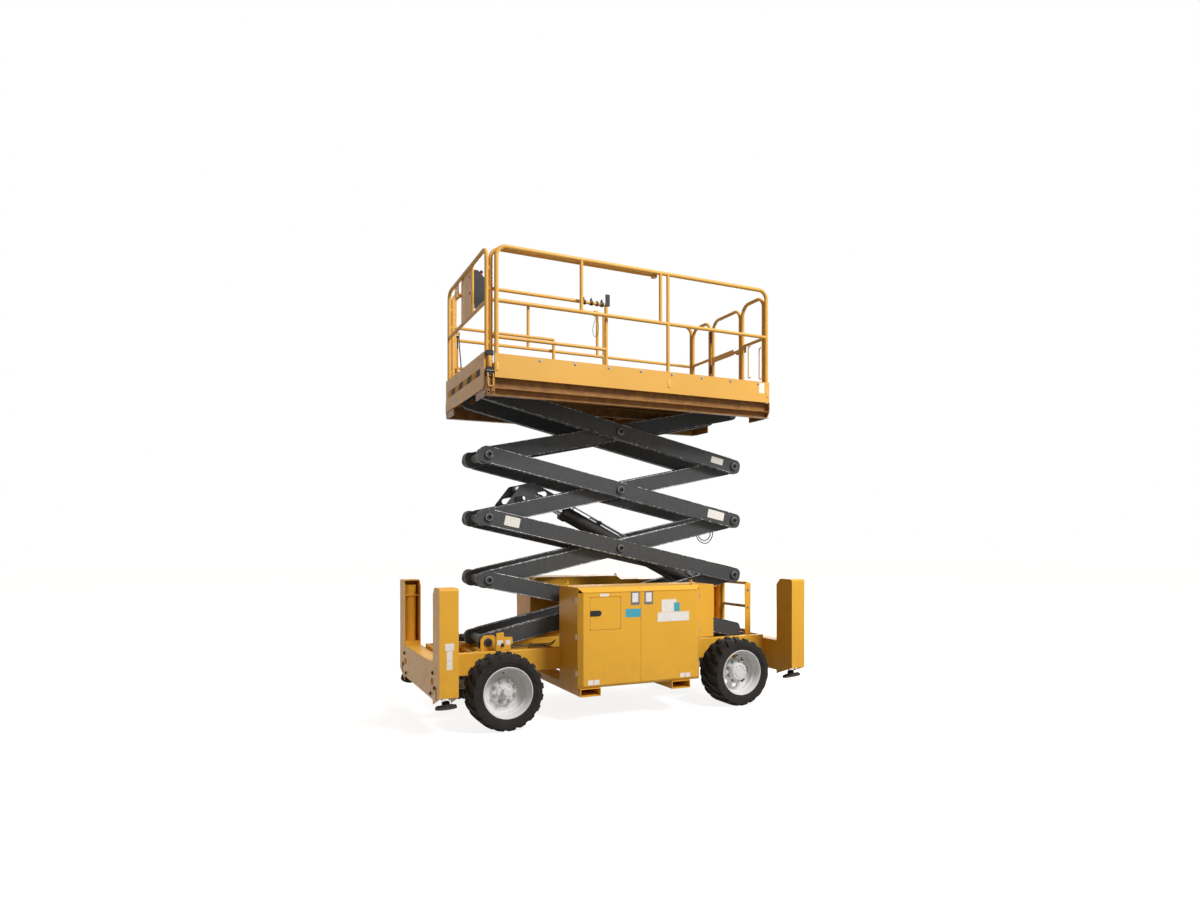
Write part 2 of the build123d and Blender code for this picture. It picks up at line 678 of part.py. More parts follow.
for name, side in SIDES:
    low, high = cabinet_z
    top_in = door_outer_y - cabinet_chamfer
    roof_lip = high - cabinet_chamfer - 5
    length = cabinet_x[1] - cabinet_x[0]
    room = cabinet_profile(side, ((cabinet_inner_y + cabinet_wall, low + 21), (door_outer_y - cabinet_wall,
                           low + 21), (door_outer_y - cabinet_wall, high - cabinet_chamfer - 2),
                           (top_in - 3, high - cabinet_wall), (cabinet_inner_y + cabinet_wall,
                           high - cabinet_wall)), cabinet_wall)
    with BuildPart() as cabinet:
        extrude(cabinet_profile(side, ((cabinet_inner_y, low), (door_outer_y - sill_bevel, low),
                                       (door_outer_y,
                low + sill_bevel), (door_outer_y, high - cabinet_chamfer), (top_in, high),
                (cabinet_inner_y, high)),
                0), amount=length)
        if side < 0:
            # Raised hood over the engine, its ends sloped
            for inset, mode in ((0, Mode.ADD), (cabinet_wall, Mode.SUBTRACT)):
                plate(((-430 + inset, high - cabinet_wall), (-370 + inset, high + hood_height - inset),
                       (570 - inset, high + hood_height - inset), (625 - inset, high - cabinet_wall)),
                      (-cabinet_inner_y - 5 - inset, -top_in + 20 + inset), mode=mode)
        extrude(room, amount=length - 2 * cabinet_wall, mode=Mode.SUBTRACT)
        block((cabinet_x[0] - 1, cabinet_x[1] + 1), (side * (door_inner_y - door_gap),
                                                     side * (door_outer_y + 1)),
              (low + 21, roof_lip), mode=Mode.SUBTRACT)
        for end, way in ENDS:
            # The door comes round the bevelled corner, so the shell is cut back behind it
            corner = cabinet_x[1] if way > 0 else cabinet_x[0]
            block((corner - way * (corner_bevel + 22), corner + way), (side * (return_y - door_gap),
                  side * door_outer_y), (low + 21, roof_lip), mode=Mode.SUBTRACT)
            with BuildSketch(Plane.XY.offset(low - 1)) as bevel:
                with BuildLine():
                    Polyline((corner - way * corner_bevel, side * door_outer_y),
                             (corner + way, side * (door_outer_y -
                             corner_bevel - 1)), (corner + way, side * (door_outer_y + 1)), (corner - way *
                             corner_bevel, side * (door_outer_y + 1)), close=True)
                make_face()
            extrude(bevel.sketch, amount=high - low + 2, mode=Mode.SUBTRACT)
        block((door_split_x - 15, door_split_x + 15), (side * (door_inner_y - 34),
                                                       side * (door_inner_y - door_gap)),
              (low + 20, high - cabinet_wall + 1))
        for way, corner in ((1, cabinet_x[1]), (-1, cabinet_x[0])):
            for z in HINGE_Z:
                x = corner + way * hinge_inset
                for step in (-26, 14):
                    bar((x, side * hinge_y, z + step), (x, side * hinge_y, z + step + 12), hinge_radius)
                    block((corner - way, corner + way * 4), (side * (hinge_y - 16), side * hinge_y),
                          (z + step, z + step + 12))
                bar((x, side * hinge_y, z - 24), (x, side * hinge_y, z + 24), 3.5)
        # Closed tank housing behind the cabinet's upper half
        block((-847, cabinet_x[0]), (side * cabinet_inner_y, side * 790), (705, 1220))
    save(cabinet, f"{name}_cabinet")

    for end, way in ENDS:
        corner = cabinet_x[1] if way > 0 else cabinet_x[0]
        meeting = door_split_x + way * door_gap / 2
        with BuildPart() as door:
            # Face, bevel and the return on the cabinet's end, in one folded panel
            bevel_y, inner_x = door_outer_y - corner_bevel, corner - way * door_return
            outline = ((meeting, door_outer_y), (corner - way * corner_bevel, door_outer_y),
                       (corner, bevel_y),
                       (corner, return_y), (inner_x, return_y), (inner_x, bevel_y - 6),
                       (corner - way * (corner_bevel + 9), door_inner_y), (meeting, door_inner_y))
            with BuildSketch(Plane.XY.offset(door_z[0])) as panel:
                with BuildLine():
                    Polyline(*[(x, side * y) for x, y in outline], close=True)
                make_face()
            extrude(panel.sketch, amount=door_z[1] - door_z[0])
            x = corner + way * hinge_inset
            for z in HINGE_Z:
                bar((x, side * hinge_y, z - 13), (x, side * hinge_y, z + 13), hinge_radius)
                block((corner - way, corner + way * 4), (side * hinge_y, side * (hinge_y + 16)),
                      (z - 13, z + 13))
                bar((x, side * hinge_y, z - 14), (x, side * hinge_y, z + 14), 4, mode=Mode.SUBTRACT)
            if name == "left" and end == "front":
                block(flap_x, (side * (door_inner_y + 2), side * (door_outer_y + 1)), flap_z,
                      mode=Mode.SUBTRACT)
                bar((flap_x[0] + 8, flap_pin_y, flap_z[0] - 1), (flap_x[0] + 8, flap_pin_y, flap_z[1] + 1), 2)
        save(door, f"{name}_{end}_door")

with BuildPart() as control_flap:
    block((flap_x[0] + 3, flap_x[1] - 3), (door_outer_y - flap_depth, door_outer_y - 1),
          (flap_z[0] + 3, flap_z[1] - 3))
    fillet(control_flap.edges().filter_by(Axis.Y), 14)
    bar((flap_x[0] + 8, flap_pin_y, flap_z[0] + 20), (flap_x[0] + 8, flap_pin_y, flap_z[1] - 20), 4.5)
    bar((flap_x[0] + 8, flap_pin_y, flap_z[0]), (flap_x[0] + 8, flap_pin_y, flap_z[1]), 2.3,
        mode=Mode.SUBTRACT)
save(control_flap, "control_flap")

with BuildPart() as hydraulics:
    block((-560, -120), (420, 760), (cabinet_z[0] + 21, 780))
    block((60, 360), (450, 740), (cabinet_z[0] + 21, 620))
    bar((200, 600, 620), (200, 600, 800), 90)
save(hydraulics, "hydraulic_unit")

with BuildPart() as engine:
    block((-500, 250), (-800, -430), (cabinet_z[0] + 21, 900))
    block((300, 580), (-800, -430), (cabinet_z[0] + 21, 760))
save(engine, "engine_block")

# ---- Platform ----
web_y = (outer_face_y + 8, outer_face_y + 20)
top_pin_z = level_z(stages)
floor_bottom = floor_z - floor_thickness
beam_y = (platform_half_width - 62, platform_half_width - 8)
track_plate = 10
PLATFORM_CROSS_X = (1380, 760, 140, -480, -1100, -1500)
LUG_X = (platform_x[1] - 16, platform_x[1] - 58)

with BuildPart() as platform_frame:
    rear_x, front_x = platform_x
    for name, side in SIDES:
        # Long webs carry the rollers' upper track and, in front, the pins of the last outer arms.
        block((rear_x, front_x - 40), (side * web_y[0], side * web_y[1]), (top_pin_z - 33, floor_bottom))
        block((rear_x, -190), (side * (outer_arm_y - 30), side * (web_y[0] + 1)),
              (top_pin_z + roller_radius + 1, top_pin_z + roller_radius + 1 + track_plate))
        with BuildSketch(Plane(origin=(base_pin_x, side * web_y[0], top_pin_z), z_dir=(0, side, 0))) as lug:
            Circle(60)
        extrude(lug.sketch, amount=web_y[1] - web_y[0])
        bar((base_pin_x, side * (inner_face_y + 3), top_pin_z), (base_pin_x, side * (web_y[1] + 6),
                                                                 top_pin_z),
            pin_radius)
        # Side channels, their webs set in and their flanges outwards
        block((rear_x, front_x), (side * beam_y[0], side * (beam_y[0] + 6)), (side_beam_z[0], floor_bottom))
        for z in (side_beam_z[0], side_beam_z[0] + 62, side_beam_z[1] + 6):
            block((rear_x, front_x), (side * beam_y[0], side * beam_y[1]), (z, z + 6))
        # Lashing lugs below the front corner
        for x in LUG_X:
            with BuildSketch(Plane(origin=(x, side * (beam_y[1] - 8), (side_beam_z[0] + side_beam_z[1]) / 2),
                                   x_dir=(0, 0, 1), z_dir=(0, side, 0))) as lug:
                SlotOverall(150, 32)
                with Locations((-52, 0)):
                    Circle(9, mode=Mode.SUBTRACT)
            extrude(lug.sketch, amount=8)
        for x in PLATFORM_CROSS_X:
            block((x - 30, x + 30), (side * (web_y[1] - 1), side * (beam_y[0] + 3)), (side_beam_z[1] - 47,
                  floor_bottom))
    for x in (rear_x, front_x - 46):
        block((x, x + 6), (-beam_y[0] - 3, beam_y[0] + 3), (side_beam_z[1] + 13, floor_bottom))
    # End plates of the side channels, with a large rounded lower corner outwards
    for x in (rear_x - 4, front_x - 6):
        with BuildSketch(Plane(origin=(x, 0, 0), x_dir=(0, 1, 0), z_dir=(1, 0, 0))) as end_plates:
            for name, side in SIDES:
                with BuildLine():
                    corner = end_corner
                    top, foot = side_beam_z[1], side_beam_z[0] - 2
                    Line((side * (web_y[1] + 60), foot), (side * (platform_half_width - corner), foot))
                    Line((side * platform_half_width, foot + corner), (side * platform_half_width, top))
                    RadiusArc((side * (platform_half_width - corner), foot), (side * platform_half_width,
                              foot + corner), -side * corner)
                    Line((side * platform_half_width, top), (side * (web_y[1] + 60), top))
                    Line((side * (web_y[1] + 60), top), (side * (web_y[1] + 60), foot))
                make_face()
        extrude(end_plates.sketch, amount=10)
save(platform_frame, "platform_frame")

with BuildPart() as platform_floor:
    block(platform_x, (-platform_half_width + 5, platform_half_width - 5), (floor_bottom, floor_z))
save(platform_floor, "platform_floor")

rail_y = platform_half_width - rail_radius
toe_y = (platform_half_width - 5, platform_half_width)
inner_bar = rail_radius - 3
rear_rail_x = platform_x[0] + 25

for name, side in SIDES:
    with BuildPart() as rails:
        y = side * rail_y
        block((platform_x[0], front_post_x + rail_radius), (side * toe_y[0], side * toe_y[1]),
              (side_beam_z[1], toe_board_top))
        block((platform_x[0], front_post_x + rail_radius), (side * (toe_y[0] - 16), side * toe_y[1]),
              (toe_board_top - 5, toe_board_top))
        # The loop: front post bent over at its top, top rail, rear corner post
        bent_tube(((front_post_x, y, floor_z), (front_post_x, y, top_rail_z), (rear_rail_x, y, top_rail_z),
                   (rear_rail_x, y, floor_z)), rail_radius, rail_bend)
        bar((front_post_x, y, mid_rail_z), (rear_rail_x, y, mid_rail_z), inner_bar)
        for x in UPPER_POSTS:
            bar((x, y, mid_rail_z), (x, y, top_rail_z), inner_bar)
        bar((full_post_x, y, floor_z), (full_post_x, y, top_rail_z), inner_bar)
    save(rails, f"{name}_rails")

loop_y = (gate_half + rail_radius + 14, rail_y - 2 * rail_radius - 5)
with BuildPart() as rear_rails:
    for name, side in SIDES:
        y_in, y_out = side * loop_y[0], side * loop_y[1]
        bent_tube(((rear_rail_x, y_out, floor_z), (rear_rail_x, y_out, rear_loop_z),
                   (rear_rail_x, y_in, rear_loop_z),
                   (rear_rail_x, y_in, floor_z)), rail_radius - 1, rear_bend)
        bar((rear_rail_x, y_out, mid_rail_z), (rear_rail_x, y_in, mid_rail_z), inner_bar)
        block((rear_rail_x - 22, rear_rail_x - 17), (side * (gate_half + 14), side * (rail_y - rail_radius)),
              (floor_z, toe_board_top))
        # Bracket from the loop to the side rail's corner post
        for z in (mid_rail_z, rear_loop_z - 160):
            block((rear_rail_x - 5, rear_rail_x + 5), (side * (loop_y[1] + 10),
                                                       side * (rail_y - rail_radius)), (z - 20, z + 20))
    # Sleeves of the gate's hinge, on the right loop
    for z in GATE_HINGES:
        bar((rear_rail_x, -gate_half, z - 45), (rear_rail_x, -gate_half, z - 21), 13)
        bar((rear_rail_x, -gate_half, z - 43), (rear_rail_x, -gate_half, z + 43), 6)
        block((rear_rail_x - 4, rear_rail_x + 4), (-loop_y[0], -gate_half - 8), (z - 45, z - 21))
save(rear_rails, "rear_rails")

# The gate swings on the right loop: a rounded loop with a middle bar.
gate_y = (-gate_half + rail_radius + 13, gate_half - rail_radius + 11)
with BuildPart() as entry_gate:
    bent_tube(((rear_rail_x, gate_y[0], gate_z[0]), (rear_rail_x, gate_y[0], gate_z[1]),
               (rear_rail_x, gate_y[1], gate_z[1]), (rear_rail_x, gate_y[1], gate_z[0])), rail_radius - 2,
               rear_bend)
    for z in (mid_rail_z - 30, gate_z[0] + 20):
        bar((rear_rail_x, gate_y[0], z), (rear_rail_x, gate_y[1], z), inner_bar)
    for z in GATE_HINGES:
        bar((rear_rail_x, -gate_half, z - 20), (rear_rail_x, -gate_half, z + 20), 13)
        block((rear_rail_x - 4, rear_rail_x + 4), (-gate_half + 9, gate_y[0]), (z - 20, z + 20))
        bar((rear_rail_x, -gate_half, z - 21), (rear_rail_x, -gate_half, z + 21), 6.5, mode=Mode.SUBTRACT)
save(entry_gate, "entry_gate")

# ---- Sliding deck ----
deck_x = (deck_front_x - extension_length, deck_front_x)
deck_half = platform_half_width - extension_inset
wear_strip = 5.5
deck_z = (floor_z + 0.5 + wear_strip, floor_z + 0.5 + wear_strip + 6)
deck_upstand = 6
ext_tube = rail_radius - 2
ext_y = deck_half - deck_upstand - ext_tube
ext_front = deck_x[1] - 28
loop_post_x = ext_front - 2 * ext_tube - 2
ext_back = deck_x[0] + 20

# Route of the control cable, from its clip down to a gland on the deck
cable_x = ext_front - 27
CABLE = ((cable_x, -378, 3722), (cable_x, -378, 3632), (cable_x - 6, -364, 3530), (cable_x - 8, -336, 3430),
         (cable_x - 4, -306, 3335), (cable_x, -296, 3250), (cable_x, -296, 3190))
cable_radius = 6
# Route of the lanyard that hangs from the right loop's sliding bracket
lanyard_y = -ext_y + 12
LANYARD = ((-252, lanyard_y, 4199), (-252, lanyard_y, 4152), (-262, lanyard_y, 4104), (-266, lanyard_y, 4052),
           (-260, lanyard_y, 4000), (-240, lanyard_y, 3958), (-214, lanyard_y, 3958), (-194, lanyard_y, 4000),
           (-196, lanyard_y, 4052), (-210, lanyard_y, 4104), (-226, lanyard_y, 4152), (-226, lanyard_y, 4199))
lanyard_radius = 3

for name, points, radius in (("control_cable", CABLE, cable_radius),
                             ("right_lanyard", LANYARD, lanyard_radius)):
    with BuildPart() as cord:
        hanging_cord(points, radius)
    save(cord, name)

with BuildPart() as extension_deck:
    block(deck_x, (-deck_half, deck_half), deck_z)
    # The front plate covers the end of the main deck and has a lip along its top
    with BuildSketch(Plane(origin=(deck_x[1] - 6, 0, 0), x_dir=(0, 1, 0), z_dir=(1, 0, 0))) as front_plate:
        with Locations((0, sum(front_plate_z) / 2)):
            Rectangle(2 * deck_half, front_plate_z[1] - front_plate_z[0])
        fillet(front_plate.vertices().group_by(Axis.Y)[0], front_plate_corner)
    extrude(front_plate.sketch, amount=6)
    block((ext_front + ext_tube + 1, deck_x[1]), (-deck_half, deck_half),
          (front_plate_z[1] - 5, front_plate_z[1]))
    for name, side in SIDES:
        block(deck_x, (side * (deck_half - deck_upstand), side * deck_half), (deck_z[0], deck_z[1] + 60))
        for y in (220, 640):
            block(deck_x, (side * (y - 20), side * (y + 20)), (floor_z + 0.5, deck_z[0] + 1))
        # Corner plate that closes the front of the deck beside the main toe board
        block((deck_x[1] - 40, deck_x[1]), (side * (deck_half - deck_upstand), side * deck_half),
              (deck_z[0], front_plate_z[1]))
    bar((cable_x, CABLE[-1][1], deck_z[0] + 1), CABLE[-1], 14)
save(extension_deck, "extension_deck")

with BuildPart() as extension_rails:
    for name, side in SIDES:
        y = side * ext_y
        bent_tube(((loop_post_x, y, deck_z[1]), (loop_post_x, y, ext_rail_z), (slider_x, y, ext_rail_z)),
                  ext_tube,
                  rail_bend)
        block((slider_x, slider_x + 40), (side * (ext_y - 24), side * (ext_y + 28)), (ext_rail_z - 26,
              ext_rail_z + 26))
        for z in (ext_mid_z, ext_low_z):
            bar((loop_post_x, y, z), (ext_back, y, z), ext_tube - 2)
        bar((ext_back, y, deck_z[1]), (ext_back, y, ext_mid_z), ext_tube - 1)
        # Straps that hold the side loop's post to the front loop's
        for z in (front_plate_z[1] + 90, ext_mid_z, ext_rail_z - 2 * rail_bend):
            block((loop_post_x, ext_front), (y - 12, y + 12), (z - 15, z + 15))
    bent_tube(((ext_front, ext_y, deck_z[1]), (ext_front, ext_y, ext_rail_z), (ext_front, -ext_y, ext_rail_z),
               (ext_front, -ext_y, deck_z[1])), ext_tube, rail_bend)
    bar((ext_front, -ext_y, mid_rail_z), (ext_front, ext_y, mid_rail_z), ext_tube - 2)
    bar((ext_front, front_post_y, mid_rail_z), (ext_front, front_post_y, ext_rail_z), ext_tube - 5)
    # Plate that the control box is bolted to, with a second one folded back beside it
    with BuildSketch(Plane.XY.offset(mid_rail_z + 4)) as folded:
        with BuildLine():
            Polyline((ext_front - 2, control_plate_y[1]), (ext_front - 6, control_plate_y[1]),
                     (ext_front - 6, control_plate_y[0]), (ext_front - 30, folded_plate_y),
                     (ext_front - 26, folded_plate_y), (ext_front - 2, control_plate_y[0]), close=True)
        make_face()
    extrude(folded.sketch, amount=ext_rail_z - mid_rail_z - 8)
    # Bracket beyond it, with two slots and a rounded cut-out
    with BuildSketch(Plane(origin=(ext_front - 3, 0, 0), x_dir=(0, 1, 0), z_dir=(1, 0, 0))) as bracket:
        middle_y = (bracket_y + folded_plate_y) / 2
        with Locations((middle_y, ext_rail_z - 75)):
            Rectangle(folded_plate_y - bracket_y, 150)
        for y in (middle_y - 30, middle_y + 30):
            with Locations((y, ext_rail_z - 62)):
                SlotOverall(64, 20, rotation=90, mode=Mode.SUBTRACT)
        with Locations((middle_y, ext_rail_z - 150)):
            Circle(44, mode=Mode.SUBTRACT)
    extrude(bracket.sketch, amount=4)
    bar((ext_front - 1, folded_plate_y + 4, ext_rail_z - 140), (ext_front - 29, folded_plate_y + 4,
        ext_rail_z - 140), 8)
    # Clip of the control cable under the mid rail
    block((cable_x - 8, ext_front), (CABLE[0][1] - 12, CABLE[0][1] + 12), (CABLE[0][2], mid_rail_z - 8))
save(extension_rails, "extension_rails")

with BuildPart() as control_box:
    # The panel slopes down towards the operator, who stands behind it
    with BuildSketch(Plane(origin=(0, control_y[0], 0), x_dir=(1, 0, 0), z_dir=(0, -1, 0))) as profile:
        with BuildLine():
            Polyline((control_x[0], control_z[0]), (control_x[1], control_z[0]), (control_x[1], control_z[1]),
                     (control_x[1] - 35, control_z[1]), (control_x[0], control_z[1] - 70), close=True)
        make_face()
        fillet(profile.vertices().group_by(Axis.Y)[0], 12)
    extrude(profile.sketch, amount=control_y[0] - control_y[1])
    for z in (control_z[0] + 60, control_z[1] - 60):
        block((control_x[1] - 1, ext_front - 6), (control_y[0] + 20, control_y[1] - 40), (z - 15, z + 15))
save(control_box, "control_box")
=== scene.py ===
"""Looks of a rough-terrain scissor lift: paint, rubber, steel, tread, bolts, labels, hoses and fittings.

Metres, in the frame of the CAD model: +X is the driving direction, +Y the machine's left, +Z up.
"""

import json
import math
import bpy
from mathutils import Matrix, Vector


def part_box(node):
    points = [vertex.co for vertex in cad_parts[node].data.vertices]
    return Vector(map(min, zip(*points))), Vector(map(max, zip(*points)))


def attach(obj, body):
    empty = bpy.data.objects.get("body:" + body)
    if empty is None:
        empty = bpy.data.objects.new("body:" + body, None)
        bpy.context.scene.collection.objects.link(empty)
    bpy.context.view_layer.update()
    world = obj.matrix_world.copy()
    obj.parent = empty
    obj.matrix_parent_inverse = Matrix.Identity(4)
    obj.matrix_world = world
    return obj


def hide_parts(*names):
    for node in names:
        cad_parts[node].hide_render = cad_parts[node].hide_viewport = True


bl_info = {
    "name": "Scissor lift finish",
    "version": (1, 0, 0),
    "blender": (4, 5, 0),
    "location": "View3D > Sidebar > Scissor Lift",
    "description": "Adds the finish and the small fittings of a rough-terrain scissor lift to its CAD model",
    "category": "Object",
}

import bmesh
import bpy
from bpy.props import FloatProperty, FloatVectorProperty, IntProperty, PointerProperty
from mathutils import Matrix, Vector

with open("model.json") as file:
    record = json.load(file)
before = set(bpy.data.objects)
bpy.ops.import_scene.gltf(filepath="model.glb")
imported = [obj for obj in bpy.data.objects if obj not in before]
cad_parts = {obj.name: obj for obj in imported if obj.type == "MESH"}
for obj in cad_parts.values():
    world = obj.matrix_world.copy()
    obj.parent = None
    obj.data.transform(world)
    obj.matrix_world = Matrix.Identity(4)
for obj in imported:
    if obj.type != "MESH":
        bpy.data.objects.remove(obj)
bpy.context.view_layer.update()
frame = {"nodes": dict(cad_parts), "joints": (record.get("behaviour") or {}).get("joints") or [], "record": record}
nodes = frame["nodes"]
SIDES = (("left", 1), ("right", -1))
ENDS = (("front", 1), ("rear", -1))
MM = 0.001
TINY = 1e-6
# Faces that meet at more than this angle are shaded as an edge
SHARP = math.radians(35)
ACROSS, UP = (1, 0, 0), (0, 0, 1)

# The material slot of each finish's pieces, looked up in piece() but not given to them; labels and tape have none
SLOTS = {
    "powder_coated_steel": "yellow_paint", "platform_powder_coat": "yellow_paint", "weld_bead": "grey_arms",
    "black_machinery_enamel": "black_paint", "zinc": "chrome_rod", "tyre_rubber": "tyre",
    "silver_wheel_paint": "rim_paint", "black_abs": "black_plastic", "red_abs": "black_plastic",
    "hose_rubber": "black_plastic", "galvanised_deck": "deck_steel", "pad_rubber": "pad_rubber"}


# ---- Colours ----
def linear(hex_colour):
    """Linear RGBA of an sRGB hex colour."""
    channels = [int(hex_colour[i : i + 2], 16) / 255 for i in (1, 3, 5)]
    return [c / 12.92 if c <= 0.04045 else ((c + 0.055) / 1.055) ** 2.4 for c in channels] + [1.0]


def colour(name, description, default):
    """A colour property that starts from an sRGB hex value."""
    return FloatVectorProperty(name=name, description=description, subtype="COLOR", size=4, min=0, max=1,
                               default=linear(default))


# ---- Materials ----
def add(tree, kind, settings=None, links=None):
    """Adds a node with its properties and inputs set, and links in the outputs given as (node, output)."""
    made = tree.nodes.new(kind)
    for key, value in (settings or {}).items():
        if isinstance(key, str) and hasattr(made, key):
            setattr(made, key, value)
        else:
            made.inputs[key].default_value = value
    for key, (source, output) in (links or {}).items():
        tree.links.new(source.outputs[output], made.inputs[key])
    return made


def maths(tree, operation, first, second=None):
    """Output of a Math node, its inputs being numbers or (node, output) pairs."""
    fixed, links = {"operation": operation}, {}
    for index, value in enumerate((first, second)):
        if value is not None:
            (links if isinstance(value, tuple) else fixed)[index] = value
    return add(tree, "ShaderNodeMath", fixed, links), 0


def surface(name, roughness, metallic=0.0, specular=0.5, **settings):
    """A new material, and its look: its tree, its Principled shader and Object coordinates."""
    material = bpy.data.materials.new(name)
    material.use_nodes = True
    tree = material.node_tree
    tree.nodes.clear()
    shader = add(tree, "ShaderNodeBsdfPrincipled", {"Roughness": roughness, "Metallic": metallic,
                                                    "Specular IOR Level": specular, **settings})
    add(tree, "ShaderNodeOutputMaterial", links={"Surface": (shader, "BSDF")})
    place = add(tree, "ShaderNodeTexCoord")
    return material, (tree, shader, (place, "Object"))


def uneven(look, size, low, high, detail=4.0):
    """Noise of a real feature size in metres, spread between two values."""
    tree, _, place = look
    noise = add(tree, "ShaderNodeTexNoise", {"Scale": 1 / size, "Detail": detail}, {"Vector": place})
    return add(tree, "ShaderNodeMapRange", {"From Min": 0.3, "From Max": 0.7, "To Min": low, "To Max": high},
               {"Value": (noise, "Fac")}), "Result"


def bump(look, height, distance, strength):
    """Bumps a look's normal by a height output, distance being the real depth in metres."""
    tree, shader, _ = look
    made = add(tree, "ShaderNodeBump", {"Strength": strength, "Distance": distance}, {"Height": height})
    tree.links.new(made.outputs["Normal"], shader.inputs["Normal"])


def blend_colours(look, factor, first, second):
    """Mixes two colours by a factor into a look's base colour."""
    tree, shader, _ = look
    mixed = add(tree, "ShaderNodeMix", {"data_type": "RGBA", 6: first, 7: second}, {0: factor})
    tree.links.new(mixed.outputs[2], shader.inputs["Base Color"])
    return mixed


def mottled(look, tint, other, size, most, detail=4.0):
    """Spots of another colour, most being the strongest mix."""
    blend_colours(look, uneven(look, size, 0.0, most, detail), tint, other)


def roughened(look, size, low, high):
    """Roughness that wanders between two values."""
    made, output = uneven(look, size, low, high)
    look[0].links.new(made.outputs[output], look[1].inputs["Roughness"])


def grained(look, size, depth, strength, detail=2.0):
    """Fine grain in the surface, its size and depth in metres."""
    bump(look, uneven(look, size, 0.0, 1.0, detail), depth, strength)


def powder_coat(name, tint, mixed_tint, dust_and_shade_top, dust_and_shade_foot=0.15, thickest=0.5, thinnest_grain=0.0):
    """Polyester powder coat on sheet steel: smooth and glossy, with a fine orange peel, dust low down, and on the
    platform's frame painted shade below its deck.
    """
    material, look = surface(name, 0.4, specular=0.24, **{"Coat Weight": 0.03, "Coat Roughness": 0.15})
    tree, shader, place = look
    # Orange peel is about 3 mm from crest to crest; it is drawn at 6 mm so that it shows
    grained(look, 6 * MM, 0.02 * MM, 0.35)
    shade = uneven(look, 450 * MM, 0.92, 1.0)
    axes = add(tree, "ShaderNodeSeparateXYZ", links={0: place})
    low_down = add(tree, "ShaderNodeMapRange",
                   {"From Min": dust_and_shade_top, "From Max": dust_and_shade_foot, "To Max": thickest}, {"Value": (axes, "Z")})
    # This darker mix low down is dust, and on the platform's frame it is painted shade
    dust = maths(tree, "MULTIPLY", (low_down, "Result"), uneven(look, 60 * MM, thinnest_grain, 1.0, 8.0))
    tinted = blend_colours(look, dust, tint, mixed_tint)
    toned = add(tree, "ShaderNodeHueSaturation", links={"Color": (tinted, 2), "Value": shade})
    tree.links.new(toned.outputs[0], shader.inputs["Base Color"])
    roughened(look, 90 * MM, 0.34, 0.48)
    return material


def enamel(name, tint, worn_tint, roughness):
    """Brushed-on machinery enamel: satin, a little uneven, and rubbed paler in patches."""
    material, look = surface(name, roughness, specular=0.36)
    mottled(look, tint, worn_tint, 35 * MM, 0.45, 10.0)
    roughened(look, 120 * MM, roughness - 0.08, roughness + 0.1)
    grained(look, 9 * MM, 0.04 * MM, 0.4)
    return material


def weld_bead(name, tint, spark):
    """Enamelled fillet weld: scales as wide as the bead, some pale with spark, a painted highlight colour, where
    they would catch the light.
    """
    material, look = surface(name, 0.3)
    tree, _, place = look
    scales = add(tree, "ShaderNodeTexNoise", {"Scale": 1 / (26 * MM), "Detail": 3.0}, {"Vector": place})
    # The pale mix on some scales is a painted highlight
    highlight_mask = add(tree, "ShaderNodeMapRange", {"From Min": 0.5, "From Max": 0.62}, {"Value": (scales, "Fac")})
    blend_colours(look, (highlight_mask, "Result"), tint, spark)
    bump(look, (scales, "Fac"), 2.0 * MM, 0.8)
    return material


def hard_chrome(name, tint, smear):
    """Ground and hard-chromed rod: a mirror with faint smears."""
    material, look = surface(name, 0.14, 1.0)
    mottled(look, tint, smear, 70 * MM, 0.3)
    roughened(look, 25 * MM, 0.08, 0.22)
    return material


def tyre_rubber(name, tint, mixed_tint):
    """Moulded rubber compound: dull and near black, with dusty patches and fine pores."""
    material, look = surface(name, 0.78, specular=0.25)
    mottled(look, tint, mixed_tint, 45 * MM, 0.5, 9.0)
    grained(look, 5 * MM, 0.15 * MM, 0.5, 3.0)
    return material


def zinc_plate(name, tint, stain, grain):
    """Hot-dip galvanised or zinc-plated steel: grey, with patches of spangle."""
    material, look = surface(name, 0.45, 0.7)
    tree, _, place = look
    cells = add(tree, "ShaderNodeTexVoronoi", {"Scale": 1 / grain}, {"Vector": place})
    tone = add(tree, "ShaderNodeMapRange", {"To Min": 0.0, "To Max": 0.8}, {"Value": (cells, "Color")})
    blend_colours(look, (tone, "Result"), tint, stain)
    roughened(look, 60 * MM, 0.35, 0.58)
    return material


def tread_plate(name, tint, stain, pitch):
    """Rolled tear-plate: zinc-grey steel with raised lozenges in a chequered row, scuffed in patches."""
    material, look = surface(name, 0.5, 0.55)
    tree, _, place = look
    turned = add(tree, "ShaderNodeMapping", {"Rotation": (0, 0, math.radians(45)), "Scale": (1 / pitch,) * 3},
                 {"Vector": place})
    checks = add(tree, "ShaderNodeTexChecker", {"Scale": 1.0}, {"Vector": (turned, 0)})
    lozenge = add(tree, "ShaderNodeTexWave", {"Scale": 0.5, "Distortion": 0.0}, {"Vector": (turned, 0)})
    bump(look, maths(tree, "MULTIPLY", (checks, "Fac"), (lozenge, "Fac")), 1.6 * MM, 0.9)
    mottled(look, tint, stain, 160 * MM, 0.6, 7.0)
    return material


def moulded_plastic(name, tint, roughness):
    """Injection-moulded ABS or nylon: even colour with a fine spark-eroded grain."""
    material, look = surface(name, roughness, specular=0.25)
    grained(look, 2.5 * MM, 0.05 * MM, 0.5)
    mottled(look, tint, linear("#6A6A68"), 80 * MM, 0.12)
    return material


def label_film(name, tint):
    """Printed vinyl film left blank: flat and slightly glossy, a little grey with handling."""
    material, look = surface(name, 0.38)
    mottled(look, tint, linear("#8C8880"), 30 * MM, 0.16, 6.0)
    return material


